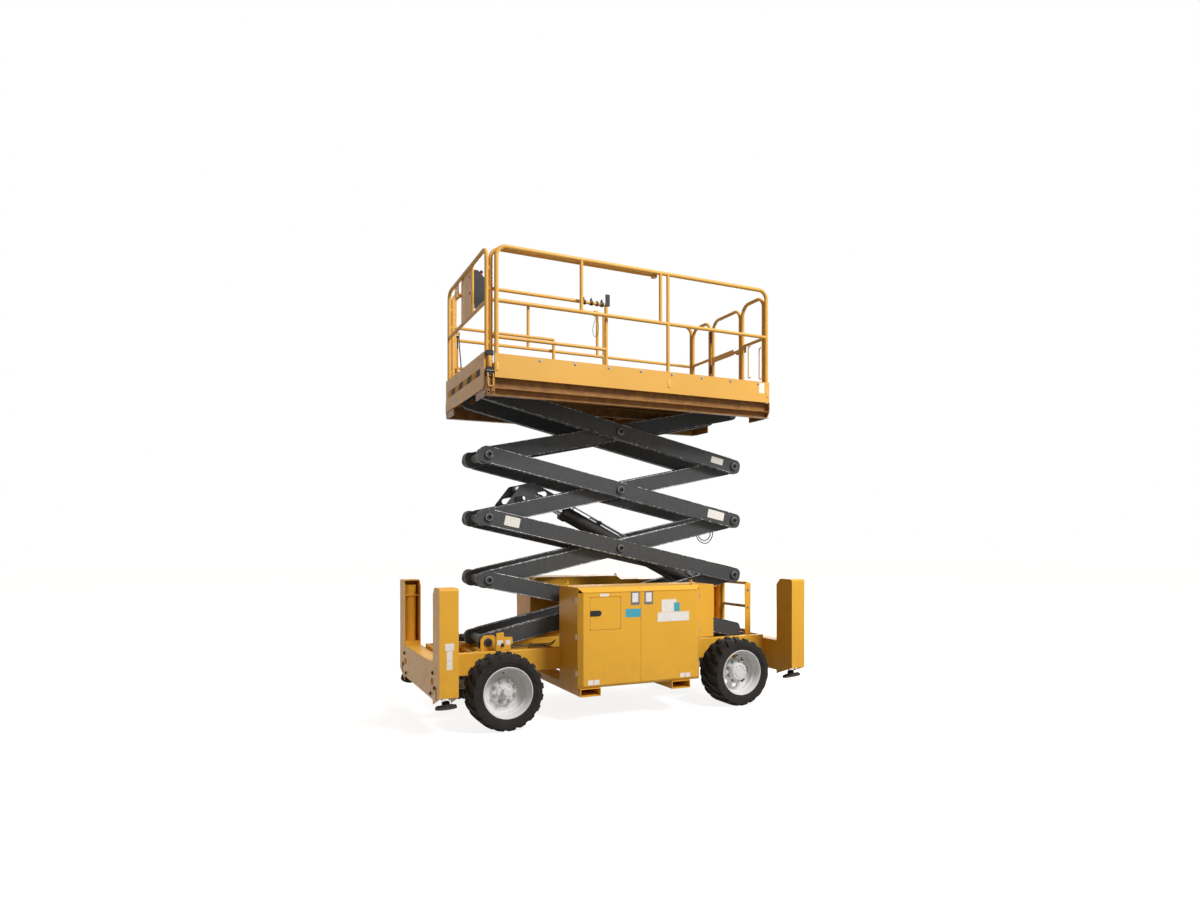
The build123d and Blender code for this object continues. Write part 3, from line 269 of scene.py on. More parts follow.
def warning_stripes(name, first, second, pitch):
    """Yellow and black slanted stripes on vinyl tape, plain bars with no words."""
    material, look = surface(name, 0.6, specular=0.12)
    tree, _, place = look
    slanted = add(tree, "ShaderNodeMapping", {"Rotation": (math.radians(30), 0, 0)}, {"Vector": place})
    axes = add(tree, "ShaderNodeSeparateXYZ", links={0: (slanted, 0)})
    part = maths(tree, "FRACT", maths(tree, "MULTIPLY", (axes, "Y"), 1 / pitch))
    blend_colours(look, maths(tree, "GREATER_THAN", part, 0.5), first, second)
    return material


class LiftColours(bpy.types.PropertyGroup):
    """Colours of the machine's finishes."""

    paint: colour("Body paint", "Yellow powder coat of the body and rails", "#EDB43C")
    platform: colour("Platform paint", "Yellow powder coat of the platform, a shade paler", "#E4B056")
    dust: colour("Dust", "Dry soil on the lower panels", "#A97A3A")
    arms: colour("Arm enamel", "Dark grey enamel of the scissor", "#3B3D3F")
    black: colour("Chassis enamel", "Black enamel of axles and castings", "#222222")
    rubber: colour("Tyre rubber", "Rubber of tyres and pads", "#1D1B1A")
    rim: colour("Wheel paint", "Silver wheel paint", "#DEE0E2")
    steel: colour("Bare steel", "Zinc-plated steel of bolts and fittings", "#9FA3A4")
    deck: colour("Deck steel", "Galvanised deck plate", "#8F9190")
    teal: colour("Teal label", "Blank teal label", "#34A7C2")


class LiftSizes(bpy.types.PropertyGroup):
    """Sizes of the small fittings that are added to the CAD model."""

    lugs: IntProperty(name="Tread lugs", description="Lugs in each half of a tyre's tread", default=20, min=8)
    lug_height: FloatProperty(name="Lug height", description="Height of a tread lug", default=17 * MM,
                              unit="LENGTH")
    label: FloatProperty(name="Label thickness", description="How far a label stands off its panel",
                         default=0.6 * MM, unit="LENGTH")


def settings():
    """The two groups of settings on the scene."""
    return bpy.context.scene.lift_colours, bpy.context.scene.lift_sizes


finishes = {}


# ---- Meshes ----
def linked(name, data):
    """A new object on the scene."""
    made = bpy.data.objects.new(name, data)
    bpy.context.scene.collection.objects.link(made)
    return made


def piece(name, mesh, body, finish, smooth=True, slot=None):
    """Puts a mesh on a body as a piece with its finish; its slot, the finish's own unless one is given, is worked
    out but not used.
    """
    made = linked(name, mesh)
    mesh.materials.clear()
    mesh.materials.append(finishes[finish])
    for face in mesh.polygons:
        face.material_index = 0
    if smooth:
        mesh.set_sharp_from_angle(angle=SHARP)
    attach(made, body)
    slot = slot or SLOTS.get(finish)
    return made


def tidied(form):
    """A mesh from a bmesh whose doubles are merged and whose faces point outwards."""
    bmesh.ops.remove_doubles(form, verts=form.verts, dist=0.01 * MM)
    bmesh.ops.recalc_face_normals(form, faces=form.faces)
    mesh = bpy.data.meshes.new("form")
    form.to_mesh(mesh)
    form.free()
    return mesh


def frame_at(centre, out, up=UP):
    """Matrix whose z points out and whose y leans towards up, at a centre."""
    z = Vector(out).normalized()
    x = Vector(up).cross(z)
    x = x.normalized() if x.length > TINY else Vector(ACROSS)
    y = z.cross(x)
    return Matrix.Translation(Vector(centre)) @ Matrix((x, y, z)).transposed().to_4x4()


def full_turn(steps):
    """Cosine and sine of each step of a full turn."""
    return [(math.cos(a), math.sin(a)) for a in (2 * math.pi * i / steps for i in range(steps))]


def slab(form, place, size, radius, bevel):
    """Adds a plate with rounded corners on the place's xy plane: size is width, height and thickness."""
    width, height, depth = size
    outline = []
    for across, upwards, start in ((1, 1, 0), (-1, 1, 90), (-1, -1, 180), (1, -1, 270)):
        for a in (math.radians(start + step * 22.5) for step in range(5)):
            outline.append((across * (width / 2 - radius) + radius * math.cos(a),
                            upwards * (height / 2 - radius) + radius * math.sin(a)))
    prism(form, place, outline, depth, bevel)


def prism(form, place, outline, depth, bevel=0.0):
    """Adds an outline's prism on the place's xy plane, its far edge chamfered."""
    levels = [(0.0, 0.0), (depth - bevel, 0.0), (depth, bevel)] if bevel else [(0.0, 0.0), (depth, 0.0)]
    centre = Vector((sum(x for x, y in outline) / len(outline), sum(y for x, y in outline) / len(outline)))
    rings = []
    for z, inset in levels:
        ring = []
        for x, y in outline:
            away = Vector((x, y)) - centre
            keep = 1 - inset / max(away.length, TINY)
            ring.append(form.verts.new(
                place @ Vector((centre.x + away.x * keep, centre.y + away.y * keep, z))))
        rings.append(ring)
    form.faces.new(rings[0][::-1])
    form.faces.new(rings[-1])
    for low, high in zip(rings, rings[1:]):
        for i in range(len(outline)):
            j = (i + 1) % len(outline)
            form.faces.new((low[i], low[j], high[j], high[i]))


def turned(form, place, profile, steps):
    """Adds a solid of revolution about the place's z axis from points (radius, height)."""
    rings = []
    for radius, height in profile:
        if radius < TINY:
            rings.append([form.verts.new(place @ Vector((0, 0, height)))])
        else:
            rings.append([form.verts.new(place @ Vector((radius * c, radius * s, height)))
                          for c, s in full_turn(steps)])
    for low, high in zip(rings, rings[1:]):
        for i in range(steps):
            j = (i + 1) % steps
            corners = [low[i % len(low)], low[j % len(low)], high[j % len(high)], high[i % len(high)]]
            corners = [v for k, v in enumerate(corners) if v not in corners[:k]]
            if len(corners) > 2:
                form.faces.new(corners)


def tube(form, points, radius, steps=12):
    """Adds a round tube whose middle follows points."""
    points = [Vector(p) for p in points]
    side = None
    rings = []
    for i, point in enumerate(points):
        ahead = (points[min(i + 1, len(points) - 1)] - points[max(i - 1, 0)]).normalized()
        if side is None:
            side = ahead.orthogonal().normalized()
        side = (side - ahead * side.dot(ahead)).normalized()
        across = ahead.cross(side)
        rings.append([form.verts.new(point + (side * c + across * s) * radius) for c, s in full_turn(steps)])
    for low, high in zip(rings, rings[1:]):
        for k in range(steps):
            form.faces.new((low[k], low[(k + 1) % steps], high[(k + 1) % steps], high[k]))
    form.faces.new(rings[0][::-1])
    form.faces.new(rings[-1])


def eased(points, radius=0.04, steps=6):
    """Points of a line whose corners are rounded, for fixed pipes and rails."""
    points = [Vector(p) for p in points]
    line = [points[0]]
    for before, corner, after in zip(points, points[1:], points[2:]):
        into, out = (corner - before), (after - corner)
        reach = min(radius, into.length * 0.45, out.length * 0.45)
        start, end = corner - into.normalized() * reach, corner + out.normalized() * reach
        for k in range(steps + 1):
            t = k / steps
            line.append(start * (1 - t) ** 2 + corner * 2 * t * (1 - t) + end * t**2)
    return line + [points[-1]]


# ---- Places on the machine, read from the frame ----
def hinge_place(name):
    """Place and axis of a joint; a slide has no place of its own."""
    found = next(j for j in frame["joints"] if j["name"] == name)
    return Vector(found.get("pos_m", (0, 0, 0))), Vector(found["axis"])


low_pin, _ = hinge_place("lift")
rear_pin, _ = hinge_place("outer_2_rear_pin")
stage_rise = rear_pin.z - low_pin.z
arm_span = low_pin.x - rear_pin.x
stages = 4
arm_slope = math.atan2(stage_rise, arm_span)
inner_y, outer_y = 225 * MM, 295 * MM
arm_thick, arm_tall = 60 * MM, 150 * MM


def on_arm(kind, stage, u, v):
    """X and Z of a point on a stage's arm: u along it from its low pin, v square to it, upwards."""
    way = -1 if kind == "inner" else 1
    start = low_pin.x if kind == "inner" else rear_pin.x
    c, s = math.cos(arm_slope), math.sin(arm_slope)
    return start + way * (u * c - v * s), low_pin.z + (stage - 1) * stage_rise + u * s + v * c


# ---- Geometry Nodes ----
def new_tree(name, inputs):
    """A geometry tree with named inputs: each is (name, socket type, default)."""
    tree = bpy.data.node_groups.new(name, "GeometryNodeTree")
    tree.interface.new_socket("Geometry", in_out="INPUT", socket_type="NodeSocketGeometry")
    for label, kind, default in inputs:
        socket = tree.interface.new_socket(label, in_out="INPUT", socket_type=kind)
        if default is not None:
            socket.default_value = default
    tree.interface.new_socket("Geometry", in_out="OUTPUT", socket_type="NodeSocketGeometry")
    return tree, add(tree, "NodeGroupInput")


def finish_tree(tree, instances, output, given):
    """Ends a tree in Realize Instances and Set Material."""
    real = add(tree, "GeometryNodeRealizeInstances", links={"Geometry": (instances, output)})
    painted = add(tree, "GeometryNodeSetMaterial", links={
        "Geometry": (real, "Geometry"), "Material": (given, "Material")})
    add(tree, "NodeGroupOutput", links={"Geometry": (painted, "Geometry")})


def grown(name, mesh, tree, values, body, finish):
    """Runs a geometry tree on a mesh and keeps the result as a plain piece on a body, flat shaded."""
    seed = linked(name + "_seed", mesh)
    modifier = seed.modifiers.new(name, "NODES")
    modifier.node_group = tree
    sockets = {s.name: s.identifier for s in tree.interface.items_tree if s.in_out == "INPUT"}
    for key, value in {**values, "Material": finishes[finish]}.items():
        modifier[sockets[key]] = value
    bpy.context.view_layer.update()
    result = bpy.data.meshes.new_from_object(seed.evaluated_get(bpy.context.evaluated_depsgraph_get()))
    seed.modifiers.clear()
    bpy.data.objects.remove(seed)
    return piece(name, result, body, finish, smooth=False)


def tread_tree():
    """Tread of one tyre about the origin's y axis: the given lug in two rows, half a pitch apart."""
    tree, given = new_tree("tread", (("Lugs", "NodeSocketInt", 20), ("Variation", "NodeSocketFloat", 0.02),
                                     ("Seed", "NodeSocketInt", 3), ("Material", "NodeSocketMaterial", None)))
    both = add(tree, "GeometryNodeJoinGeometry")
    # The second row is the first one turned half round the x axis, which mirrors its slant
    for phase, flip in ((0.0, 0.0), (0.5, math.pi)):
        line = add(tree, "GeometryNodeMeshLine", {"Offset": (0, 0, 0)}, {"Count": (given, "Lugs")})
        index = add(tree, "GeometryNodeInputIndex")
        share = maths(tree, "DIVIDE", maths(tree, "ADD", (index, 0), phase), (given, "Lugs"))
        spin = add(tree, "ShaderNodeCombineXYZ", links={"Y": maths(tree, "MULTIPLY", share, 2 * math.pi)})
        least = maths(tree, "SUBTRACT", 1.0, (given, "Variation"))
        width = add(tree, "FunctionNodeRandomValue", {"data_type": "FLOAT", 3: 1.0},
                    {2: least, "Seed": (given, "Seed")})
        scale = add(tree, "ShaderNodeCombineXYZ", {"Y": 1.0, "Z": 1.0}, {"X": (width, 1)})
        row = add(tree, "GeometryNodeInstanceOnPoints", links={
            "Points": (line, "Mesh"), "Instance": (given, "Geometry"), "Rotation": (spin, 0),
            "Scale": (scale, 0)})
        turned_row = add(
            tree, "GeometryNodeTransform", {"Rotation": (flip, 0, 0)}, {"Geometry": (row, "Instances")})
        tree.links.new(turned_row.outputs["Geometry"], both.inputs["Geometry"])
    finish_tree(tree, both, "Geometry", given)
    return tree


def bolt_tree():
    """Hexagon bolt head with its washer on every point, standing along the point's normal."""
    tree, given = new_tree("bolts", (("Across Flats", "NodeSocketFloat", 24 * MM),
                                     ("Material", "NodeSocketMaterial", None)))
    flats, head_height, washer_radius, rise = (maths(tree, "MULTIPLY", (given, "Across Flats"), share)
                                               for share in (0.577, 0.5, 0.8, 0.3))
    head = add(tree, "GeometryNodeMeshCylinder", {"Vertices": 6}, {"Radius": flats, "Depth": head_height})
    washer = add(
        tree, "GeometryNodeMeshCylinder", {"Vertices": 16, "Depth": 5 * MM}, {"Radius": washer_radius})
    offset = add(tree, "ShaderNodeCombineXYZ", links={"Z": rise})
    raised = add(
        tree, "GeometryNodeTransform", links={"Geometry": (head, "Mesh"), "Translation": (offset, 0)})
    whole = add(tree, "GeometryNodeJoinGeometry")
    tree.links.new(raised.outputs["Geometry"], whole.inputs["Geometry"])
    tree.links.new(washer.outputs["Mesh"], whole.inputs["Geometry"])
    facing = add(tree, "GeometryNodeInputNamedAttribute", {"data_type": "FLOAT_VECTOR", "Name": "facing"})
    turn = add(tree, "FunctionNodeAlignEulerToVector", {"axis": "Z"}, {"Vector": (facing, "Attribute")})
    every = add(tree, "GeometryNodeInstanceOnPoints", links={
        "Points": (given, "Geometry"), "Instance": (whole, "Geometry"), "Rotation": (turn, 0)})
    finish_tree(tree, every, "Instances", given)
    return tree


def bolts(name, places, body, size, finish="black_machinery_enamel"):
    """Bolt heads at (point, direction) places on one body, size being the width across their flats."""
    mesh = bpy.data.meshes.new(name)
    mesh.from_pydata([tuple(p) for p, out in places], [], [])
    facing = mesh.attributes.new("facing", "FLOAT_VECTOR", "POINT")
    for i, (p, out) in enumerate(places):
        facing.data[i].vector = Vector(out).normalized()
    tree = bpy.data.node_groups.get("bolts") or bolt_tree()
    return grown(name, mesh, tree, {"Across Flats": size}, body, finish)


# ---- Operators ----
class LIFT_OT_finishes(bpy.types.Operator):
    """Make the finishes and give each CAD node its own"""

    bl_idname = "lift.finishes"
    bl_label = "Paint and rubber"

    def execute(self, context):
        c, _ = settings()
        # name, maker and its arguments; a colour that users wouldn't change is given in hex
        for name, make, *given in (
                ("powder_coated_steel", powder_coat, c.paint, c.dust, 0.8, 0.15, 0.32),
                ("platform_powder_coat", powder_coat, c.platform, c.dust, 0.4),
                # The platform's frame is darkened below its deck: painted shade under the toe board and on the
                # underside
                ("sooty_powder_coat", powder_coat, c.platform, "#7C5433", 3.145, 3.115, 0.95, 0.7),
                ("grey_machinery_enamel", enamel, c.arms, "#4B4E50", 0.55),
                # The weld's pale second colour is a painted highlight on its scales
                ("weld_bead", weld_bead, "#3A3C3E", "#B4B6B7"),
                ("black_machinery_enamel", enamel, c.black, "#3B3733", 0.45),
                ("hard_chrome", hard_chrome, "#D8D9DA", "#9C9DA0"),
                ("tyre_rubber", tyre_rubber, c.rubber, "#37322D"),
                ("pad_rubber", tyre_rubber, "#1F1E1D", "#3D3832"),
                ("silver_wheel_paint", enamel, c.rim, "#D0D2D3", 0.42),
                ("zinc", zinc_plate, c.steel, "#7B7F80", 12 * MM),
                ("galvanised_deck", tread_plate, c.deck, "#6E6C66", 30 * MM),
                ("black_abs", moulded_plastic, "#1D1D1E", 0.5),
                ("red_abs", moulded_plastic, "#B3201B", 0.35),
                ("white_label", label_film, "#F1F0EB"),
                ("grey_label", label_film, "#6D6E70"),
                ("teal_label", label_film, c.teal),
                ("orange_label", label_film, "#DE8A3A"),
                ("blue_label", label_film, "#6FA3CC"),
                ("striped_tape", warning_stripes, "#E0A531", "#2B2622", 265 * MM),
                ("hose_rubber", moulded_plastic, "#202020", 0.55)):
            finishes[name] = make(name, *(linear(v) if isinstance(v, str) else v for v in given))
        by_slot = {"yellow_paint": "powder_coated_steel", "grey_arms": "grey_machinery_enamel",
                   "black_paint": "black_machinery_enamel", "chrome_rod": "hard_chrome",
                   "tyre": "tyre_rubber", "rim_paint": "silver_wheel_paint", "black_plastic": "black_abs",
                   "deck_steel": "galvanised_deck", "pad_rubber": "pad_rubber"}
        slot_of = {s["node"]: s["material_slot"] for s in frame["record"]["subparts"]}
        on_platform = {n for body in ("platform", "extension", "entry_gate")
                       for n in frame["record"]["behaviour"]["bodies"][body]}
        for name, node in nodes.items():
            finish = by_slot[slot_of[name]]
            if finish == "powder_coated_steel" and name in on_platform:
                # The platform's frame gets painted shade below its deck
                finish = "sooty_powder_coat" if name == "platform_frame" else "platform_powder_coat"
            node.data.materials.clear()
            node.data.materials.append(finishes[finish])
        return {"FINISHED"}


class LIFT_OT_tread(bpy.types.Operator):
    """Mould the four tyres: a carcass with blocky lugs that reach down its shoulders"""

    bl_idname = "lift.tread"
    bl_label = "Tyres"

    def execute(self, context):
        _, sizes = settings()
        tree = tread_tree()
        for end, _ in ENDS:
            for name, _ in SIDES:
                wheel = f"{end}_{name}_wheel"
                low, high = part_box(f"{wheel}_tyre")
                middle = (low + high) / 2
                radius, half = (high.z - low.z) / 2 / MM, (high.y - low.y) / 2 / MM
                bead = (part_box(f"{wheel}_rim")[1].z - middle.z) / MM
                depth = sizes.lug_height / MM
                crown = radius - depth
                wall = ((bead - 14, half - 30), (bead + 6, half - 17), (bead + 22, half - 8),
                        (bead + 30, half - 9), (bead + 36, half - 3), (bead + 60, half),
                        (bead + 84, half - 4), (crown - 22, half - 18), (crown - 8, half - 34),
                        (crown, half - 58))
                outline = [(r, y) for r, y in wall] + [(r, -y) for r, y in reversed(wall)]
                carcass = made_of(f"{wheel}_carcass", wheel, "tyre_rubber", [
                    round_at(middle, Y, outline + [outline[0]], 72)])
                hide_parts(f"{wheel}_tyre")
                # Stations of a lug from the tread's middle to the wall: y, top, foot, then its two x edges
                stations = (
                    (4, radius, crown - 4, -26, 12), (half - 62, radius, crown - 4, 4, 48),
                    (half - 34, radius - 3, crown - 12, 14, 66), (half - 12, radius - 17, crown - 30, 18, 72),
                    (half - 2, radius - 44, crown - 52, 20, 68), (half - 3, radius - 72, crown - 58, 24, 60))
                form = bmesh.new()
                rings = [[form.verts.new(Vector((x, y, math.sqrt(reach**2 - x**2))) * MM) for x, reach in (
                    (first, foot), (last, foot), (last - 3, top), (first + 3, top))]
                    for y, top, foot, first, last in stations]
                form.faces.new(rings[0][::-1])
                form.faces.new(rings[-1])
                for near, far in zip(rings, rings[1:]):
                    for k in range(4):
                        form.faces.new((near[k], near[(k + 1) % 4], far[(k + 1) % 4], far[k]))
                tread = grown(
                    f"{wheel}_tread", tidied(form), tree, {"Lugs": sizes.lugs}, wheel, "tyre_rubber")
                tread.data.transform(Matrix.Translation(middle))
        return {"FINISHED"}


def seen_rays(tree):
    """Output that is 1 for rays from the camera or off glossy surfaces, which see a white studio."""
    rays = add(tree, "ShaderNodeLightPath")
    return maths(tree, "MAXIMUM", (rays, "Is Camera Ray"), (rays, "Is Glossy Ray"))


# Lamps: place, aim, power in watts, size in metres
LAMPS = (((-4.0, 9.5, 11.5), (0, 0, 1.8), 2050, 4.0), ((-7.0, -10.0, 7.0), (0, 0, 1.8), 700, 6.0))
# Camera: place and heading, then its lens and sensor in millimetres and the upward shift of its frame
EYE, HEADING, LENS, SENSOR, SHIFT = (3.334, 7.111, 1.646), (-0.422, -0.9066, 0), 22.7, 36, 0.076
FLOOR_SIZE = 60


class LIFT_OT_stage(bpy.types.Operator):
    """Make the floor, the lamps, the world and the camera"""

    bl_idname = "lift.stage"
    bl_label = "Stage"

    def execute(self, context):
        scene = context.scene
        material, (tree, shader, _) = surface("studio_floor", 0.9)
        bright = maths(tree, "MULTIPLY", seen_rays(tree), 0.86)
        shader.inputs["Base Color"].default_value = linear("#969694")
        shader.inputs["Emission Color"].default_value = linear("#FFFFFF")
        tree.links.new(bright[0].outputs[0], shader.inputs["Emission Strength"])
        form = bmesh.new()
        bmesh.ops.create_grid(form, x_segments=1, y_segments=1, size=FLOOR_SIZE)
        floor = linked("floor", tidied(form))
        floor.data.materials.append(material)

        world = bpy.data.worlds.new("studio")
        scene.world = world
        world.use_nodes = True
        tree = world.node_tree
        tree.nodes.clear()
        seen = seen_rays(tree)
        warm = add(tree, "ShaderNodeBackground", {"Color": linear("#FFDCBA"), "Strength": 0.29})
        white = add(tree, "ShaderNodeBackground", {"Color": linear("#FFFFFF"), "Strength": 1.0})
        sky = add(tree, "ShaderNodeMixShader", links={0: seen, 1: (warm, 0), 2: (white, 0)})
        add(tree, "ShaderNodeOutputWorld", links={"Surface": (sky, 0)})

        for index, (spot, aim, power, size) in enumerate(LAMPS):
            lamp = bpy.data.lights.new(f"lamp_{index}", "AREA")
            lamp.energy, lamp.size = power, size
            holder = linked(f"lamp_{index}", lamp)
            holder.location = spot
            holder.rotation_euler = (Vector(aim) - Vector(spot)).to_track_quat("-Z", "Y").to_euler()

        data = bpy.data.cameras.new("camera")
        data.sensor_width, data.lens, data.shift_y = SENSOR, LENS, SHIFT
        camera = linked("camera", data)
        camera.location = EYE
        camera.rotation_euler = Vector(HEADING).to_track_quat("-Z", "Y").to_euler()
        scene.camera = camera
        scene.view_settings.view_transform = "Standard"
        return {"FINISHED"}


# ---- Making pieces ----
X, Y, Z = Vector(ACROSS), Vector((0, 1, 0)), Vector(UP)


def at(x, y, z):
    """A place given in millimetres."""
    return Vector((x, y, z)) * MM


def circle(start, stop, step):
    """Cosine and sine of each angle of a range in degrees."""
    return [(math.cos(a), math.sin(a)) for a in map(math.radians, range(start, stop, step))]


def made_of(name, body, finish, shapes, smooth=True, slot=None):
    """One piece from several shapes: each is (function, its arguments after the bmesh)."""
    form = bmesh.new()
    for build, *given in shapes:
        build(form, *given)
    return piece(name, tidied(form), body, finish, smooth, slot)


def plate_at(centre, out, width, height, thick, radius, up=UP, bevel=0.0):
    """Shape of a plate in millimetres whose back lies at a place and whose face points out."""
    return slab, frame_at(centre, out, up), (width * MM, height * MM, thick * MM), radius * MM, bevel * MM


def round_at(centre, out, profile, steps=24, up=None):
    """Shape turned about a place's outward axis, its profile in millimetres."""
    return (turned, frame_at(centre, out, up or (UP if abs(Vector(out).z) < 0.9 else ACROSS)),
            [(r * MM, h * MM) for r, h in profile], steps)


def pipe(points, radius, bend=40):
    """Shape of a bent pipe through places, its radius in millimetres."""
    return (tube, eased(points, bend * MM), radius * MM)


class LIFT_OT_labels(bpy.types.Operator):
    """Put the blank labels, signs and stripes on"""

    bl_idname = "lift.labels"
    bl_label = "Labels and stripes"

    def execute(self, context):
        _, sizes = settings()
        thick = sizes.label / MM
        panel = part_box("left_front_door")[1].y / MM
        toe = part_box("left_rails")[1].y / MM
        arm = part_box("outer_arms_2")[1].y / MM
        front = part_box("extension_deck")[1].x / MM
        door, rear_door = "left_front_door", "left_rear_door"
        # name, body, x, z, width, height, finish, layers below it
        signs = (
            ("flap_notice", door, 393, 1156, 88, 26, "white_label", 0),
            ("manual_sign", door, 78, 1116, 93, 122, "grey_label", 0),
            ("manual_sign_page", door, 78, 1124, 62, 86, "white_label", 1),
            ("safety_sign", rear_door, -64, 1116, 93, 122, "grey_label", 0),
            ("safety_sign_page", rear_door, -64, 1124, 62, 86, "white_label", 1),
            ("teal_sign", door, 99, 982, 158, 78, "teal_label", 0),
            ("notice_top", rear_door, -283, 1037, 160, 118, "white_label", 0),
            ("notice_teal", rear_door, -368, 1023, 64, 84, "teal_label", 1),
            ("notice_foot", rear_door, -331, 932, 345, 88, "white_label", 1),
            ("tie_down_sign_1", door, 530, 368, 52, 46, "white_label", 0),
            ("tie_down_sign_2", door, 470, 368, 52, 46, "white_label", 0),
            ("tie_down_sign_3", rear_door, -430, 368, 52, 40, "white_label", 0),
            ("tie_down_sign_4", rear_door, -490, 368, 52, 40, "white_label", 0),
            ("outrigger_sign_1", "chassis", 1815, 766, 75, 58, "white_label", 0),
            ("outrigger_sign_2", "chassis", 1815, 692, 48, 80, "white_label", 0),
            ("outrigger_sign_3", "chassis", 1815, 612, 48, 72, "white_label", 0),
        )
        for name, body, x, z, width, height, finish, below in signs:
            made_of(name, body, finish, [
                plate_at(at(x, panel + below * thick, z), Y, width, height, thick, 4)], smooth=False)
        for name, stage, u, width, height in (
                ("arm_sign_2", 2, 2549, 150, 92), ("arm_sign_3", 3, 229, 205, 88),
                ("arm_sign_4", 4, 214, 150, 66)):
            x, z = on_arm("outer", stage, u * MM, 8 * MM)
            along = Vector((-math.sin(arm_slope), 0, math.cos(arm_slope)))
            made_of(name, f"outer_arms_{stage}", "white_label", [
                plate_at((x, arm * MM, z), Y, width, height, thick, 4, up=along)], smooth=False)
        made_of("toe_board_sign", "platform", "white_label", [
            plate_at(at(-1463, toe, 3222), Y, 66, 104, thick, 3)], smooth=False)
        made_of("deck_stripes", "extension", "striped_tape", [
            plate_at(at(front, -20, 3148), X, 1180, 62, thick, 2)], smooth=False)
        made_of("deck_sign", "extension", "blue_label", [
            plate_at(at(front, -330, 3050), X, 62, 52, thick, 4)], smooth=False)
        return {"FINISHED"}


class LIFT_OT_pins(bpy.types.Operator):
    """Put a washer, a nut and its thread end on the pins of the scissor"""

    bl_idname = "lift.pins"
    bl_label = "Scissor pins"

    def execute(self, context):
        length = math.hypot(arm_span, stage_rise)
        for stage in range(1, stages + 1):
            body = f"inner_arms_{stage}"
            # The outer end of each pin, found from the node's own width
            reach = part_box(body)[1].y
            washers, nuts, threads = [], [], []
            for u in [length / 2] + [length] * (stage < stages) + [0] * (stage > 1):
                x, z = on_arm("inner", stage, u, 0)
                for _, side in SIDES:
                    face = Vector((x, side * reach, z))
                    washers.append(round_at(
                        face, side * Y, ((0, -1), (34, -1), (34, 2.5), (32, 4.5), (0, 4.5)), 32))
                    nuts.append(round_at(face + side * Y * 3.5 * MM, side * Y,
                                         ((0, 0), (30, 0), (30, 7), (26, 10), (0, 10)), 6))
                    threads.append(round_at(face + side * Y * 12 * MM, side * Y,
                                            ((0, -4), (13, -4), (13, 0), (11, 1.5), (0, 1.5)), 20))
            made_of(f"pin_washers_{stage}", body, "zinc", washers, slot="black_paint")
            made_of(f"pin_nuts_{stage}", body, "black_machinery_enamel", nuts, smooth=False)
            made_of(f"pin_threads_{stage}", body, "zinc", threads)
        return {"FINISHED"}


class LIFT_OT_arm_edges(bpy.types.Operator):
    """Run the weld beads along the box arms, their finish flecked with painted highlights"""

    bl_idname = "lift.arm_edges"
    bl_label = "Arm welds"

    def execute(self, context):
        length = math.hypot(arm_span, stage_rise)
        for stage in range(1, stages + 1):
            for kind, middle in (("inner", inner_y), ("outer", outer_y)):
                beads = []
                for _, side in SIDES:
                    # The cylinder's brackets pass close inside the top inner arms: these are welded outside
                    for face in (side,) if (kind, stage) == ("inner", stages) else (-1, 1):
                        for v in (arm_tall / 2 - 1 * MM, 1 * MM - arm_tall / 2):
                            ends = [on_arm(kind, stage, u, v) for u in (40 * MM, length - 40 * MM)]
                            y = side * middle + face * (arm_thick / 2 - 1 * MM)
                            beads.append((tube, [(x, y, z) for x, z in ends], 4.5 * MM, 8))
                made_of(f"{kind}_arm_welds_{stage}", f"{kind}_arms_{stage}", "weld_bead", beads)
        return {"FINISHED"}


class LIFT_OT_cylinder(bpy.types.Operator):
    """Give the lift cylinder its pipes, clamps, valve and gland ring"""

    bl_idname = "lift.cylinder"
    bl_label = "Lift cylinder fittings"

    def execute(self, context):
        foot, _ = hinge_place("cylinder_foot")
        _, along = hinge_place("cylinder_stroke")
        along = along.normalized()
        up = Y.cross(along) * -1
        up = up if up.z > 0 else -up
        barrel, length = 75, 1800

        def on(u, side, v):
            """A place along the barrel: distance from the foot, to the left, and up, in millimetres."""
            return foot + along * u * MM + Y * side * MM + up * v * MM

        pipes = [pipe([on(150, y, barrel - 6), on(150, y, barrel + 22), on(reach, y, barrel + 22),
                       on(reach, y, barrel - 10)], 7, 30)
                 for y, reach in ((26, length - 90), (-26, length - 320))]
        made_of("cylinder_pipes", "lift_cylinder", "zinc", pipes, slot="black_paint")
        clamps = [plate_at(on(u, 0, barrel - 4), up, 84, 30, 36, 6, along, 3) for u in (420, 900, 1380)]
        made_of("pipe_clamps", "lift_cylinder", "black_abs", clamps)
        made_of("holding_valve", "lift_cylinder", "zinc", [
            plate_at(on(165, 0, barrel - 4), up, 96, 90, 52, 5, along, 3),
            round_at(on(150, 0, barrel + 48), up,
                     ((0, 0), (17, 0), (17, 16), (13, 20), (13, 44), (0, 46)), 6)])
        made_of("gland_ring", "lift_cylinder", "black_machinery_enamel", [
            round_at(on(length - 2, 0, 0), along,
                     ((51.5, 0), (72, 0), (72, 8), (66, 12), (51.5, 12), (51.5, 0)), 40, up)])
        return {"FINISHED"}


# Spokes of a wheel: the radii of their feet and tips, the depth of their backs, and their thickness
SPOKE_FOOT, SPOKE_TIP, SPOKE_BACK, SPOKE_THICK = 124, 168, 148, 10
# A wheel's disc leans in behind its centre, which clears the wheel motor
DISC = ((30, -123), (30, -110), (106, -110), (112, -114), (122, -132), (126, -136), (126, -146), (118, -144),
        (108, -124), (104, -122), (30, -123))
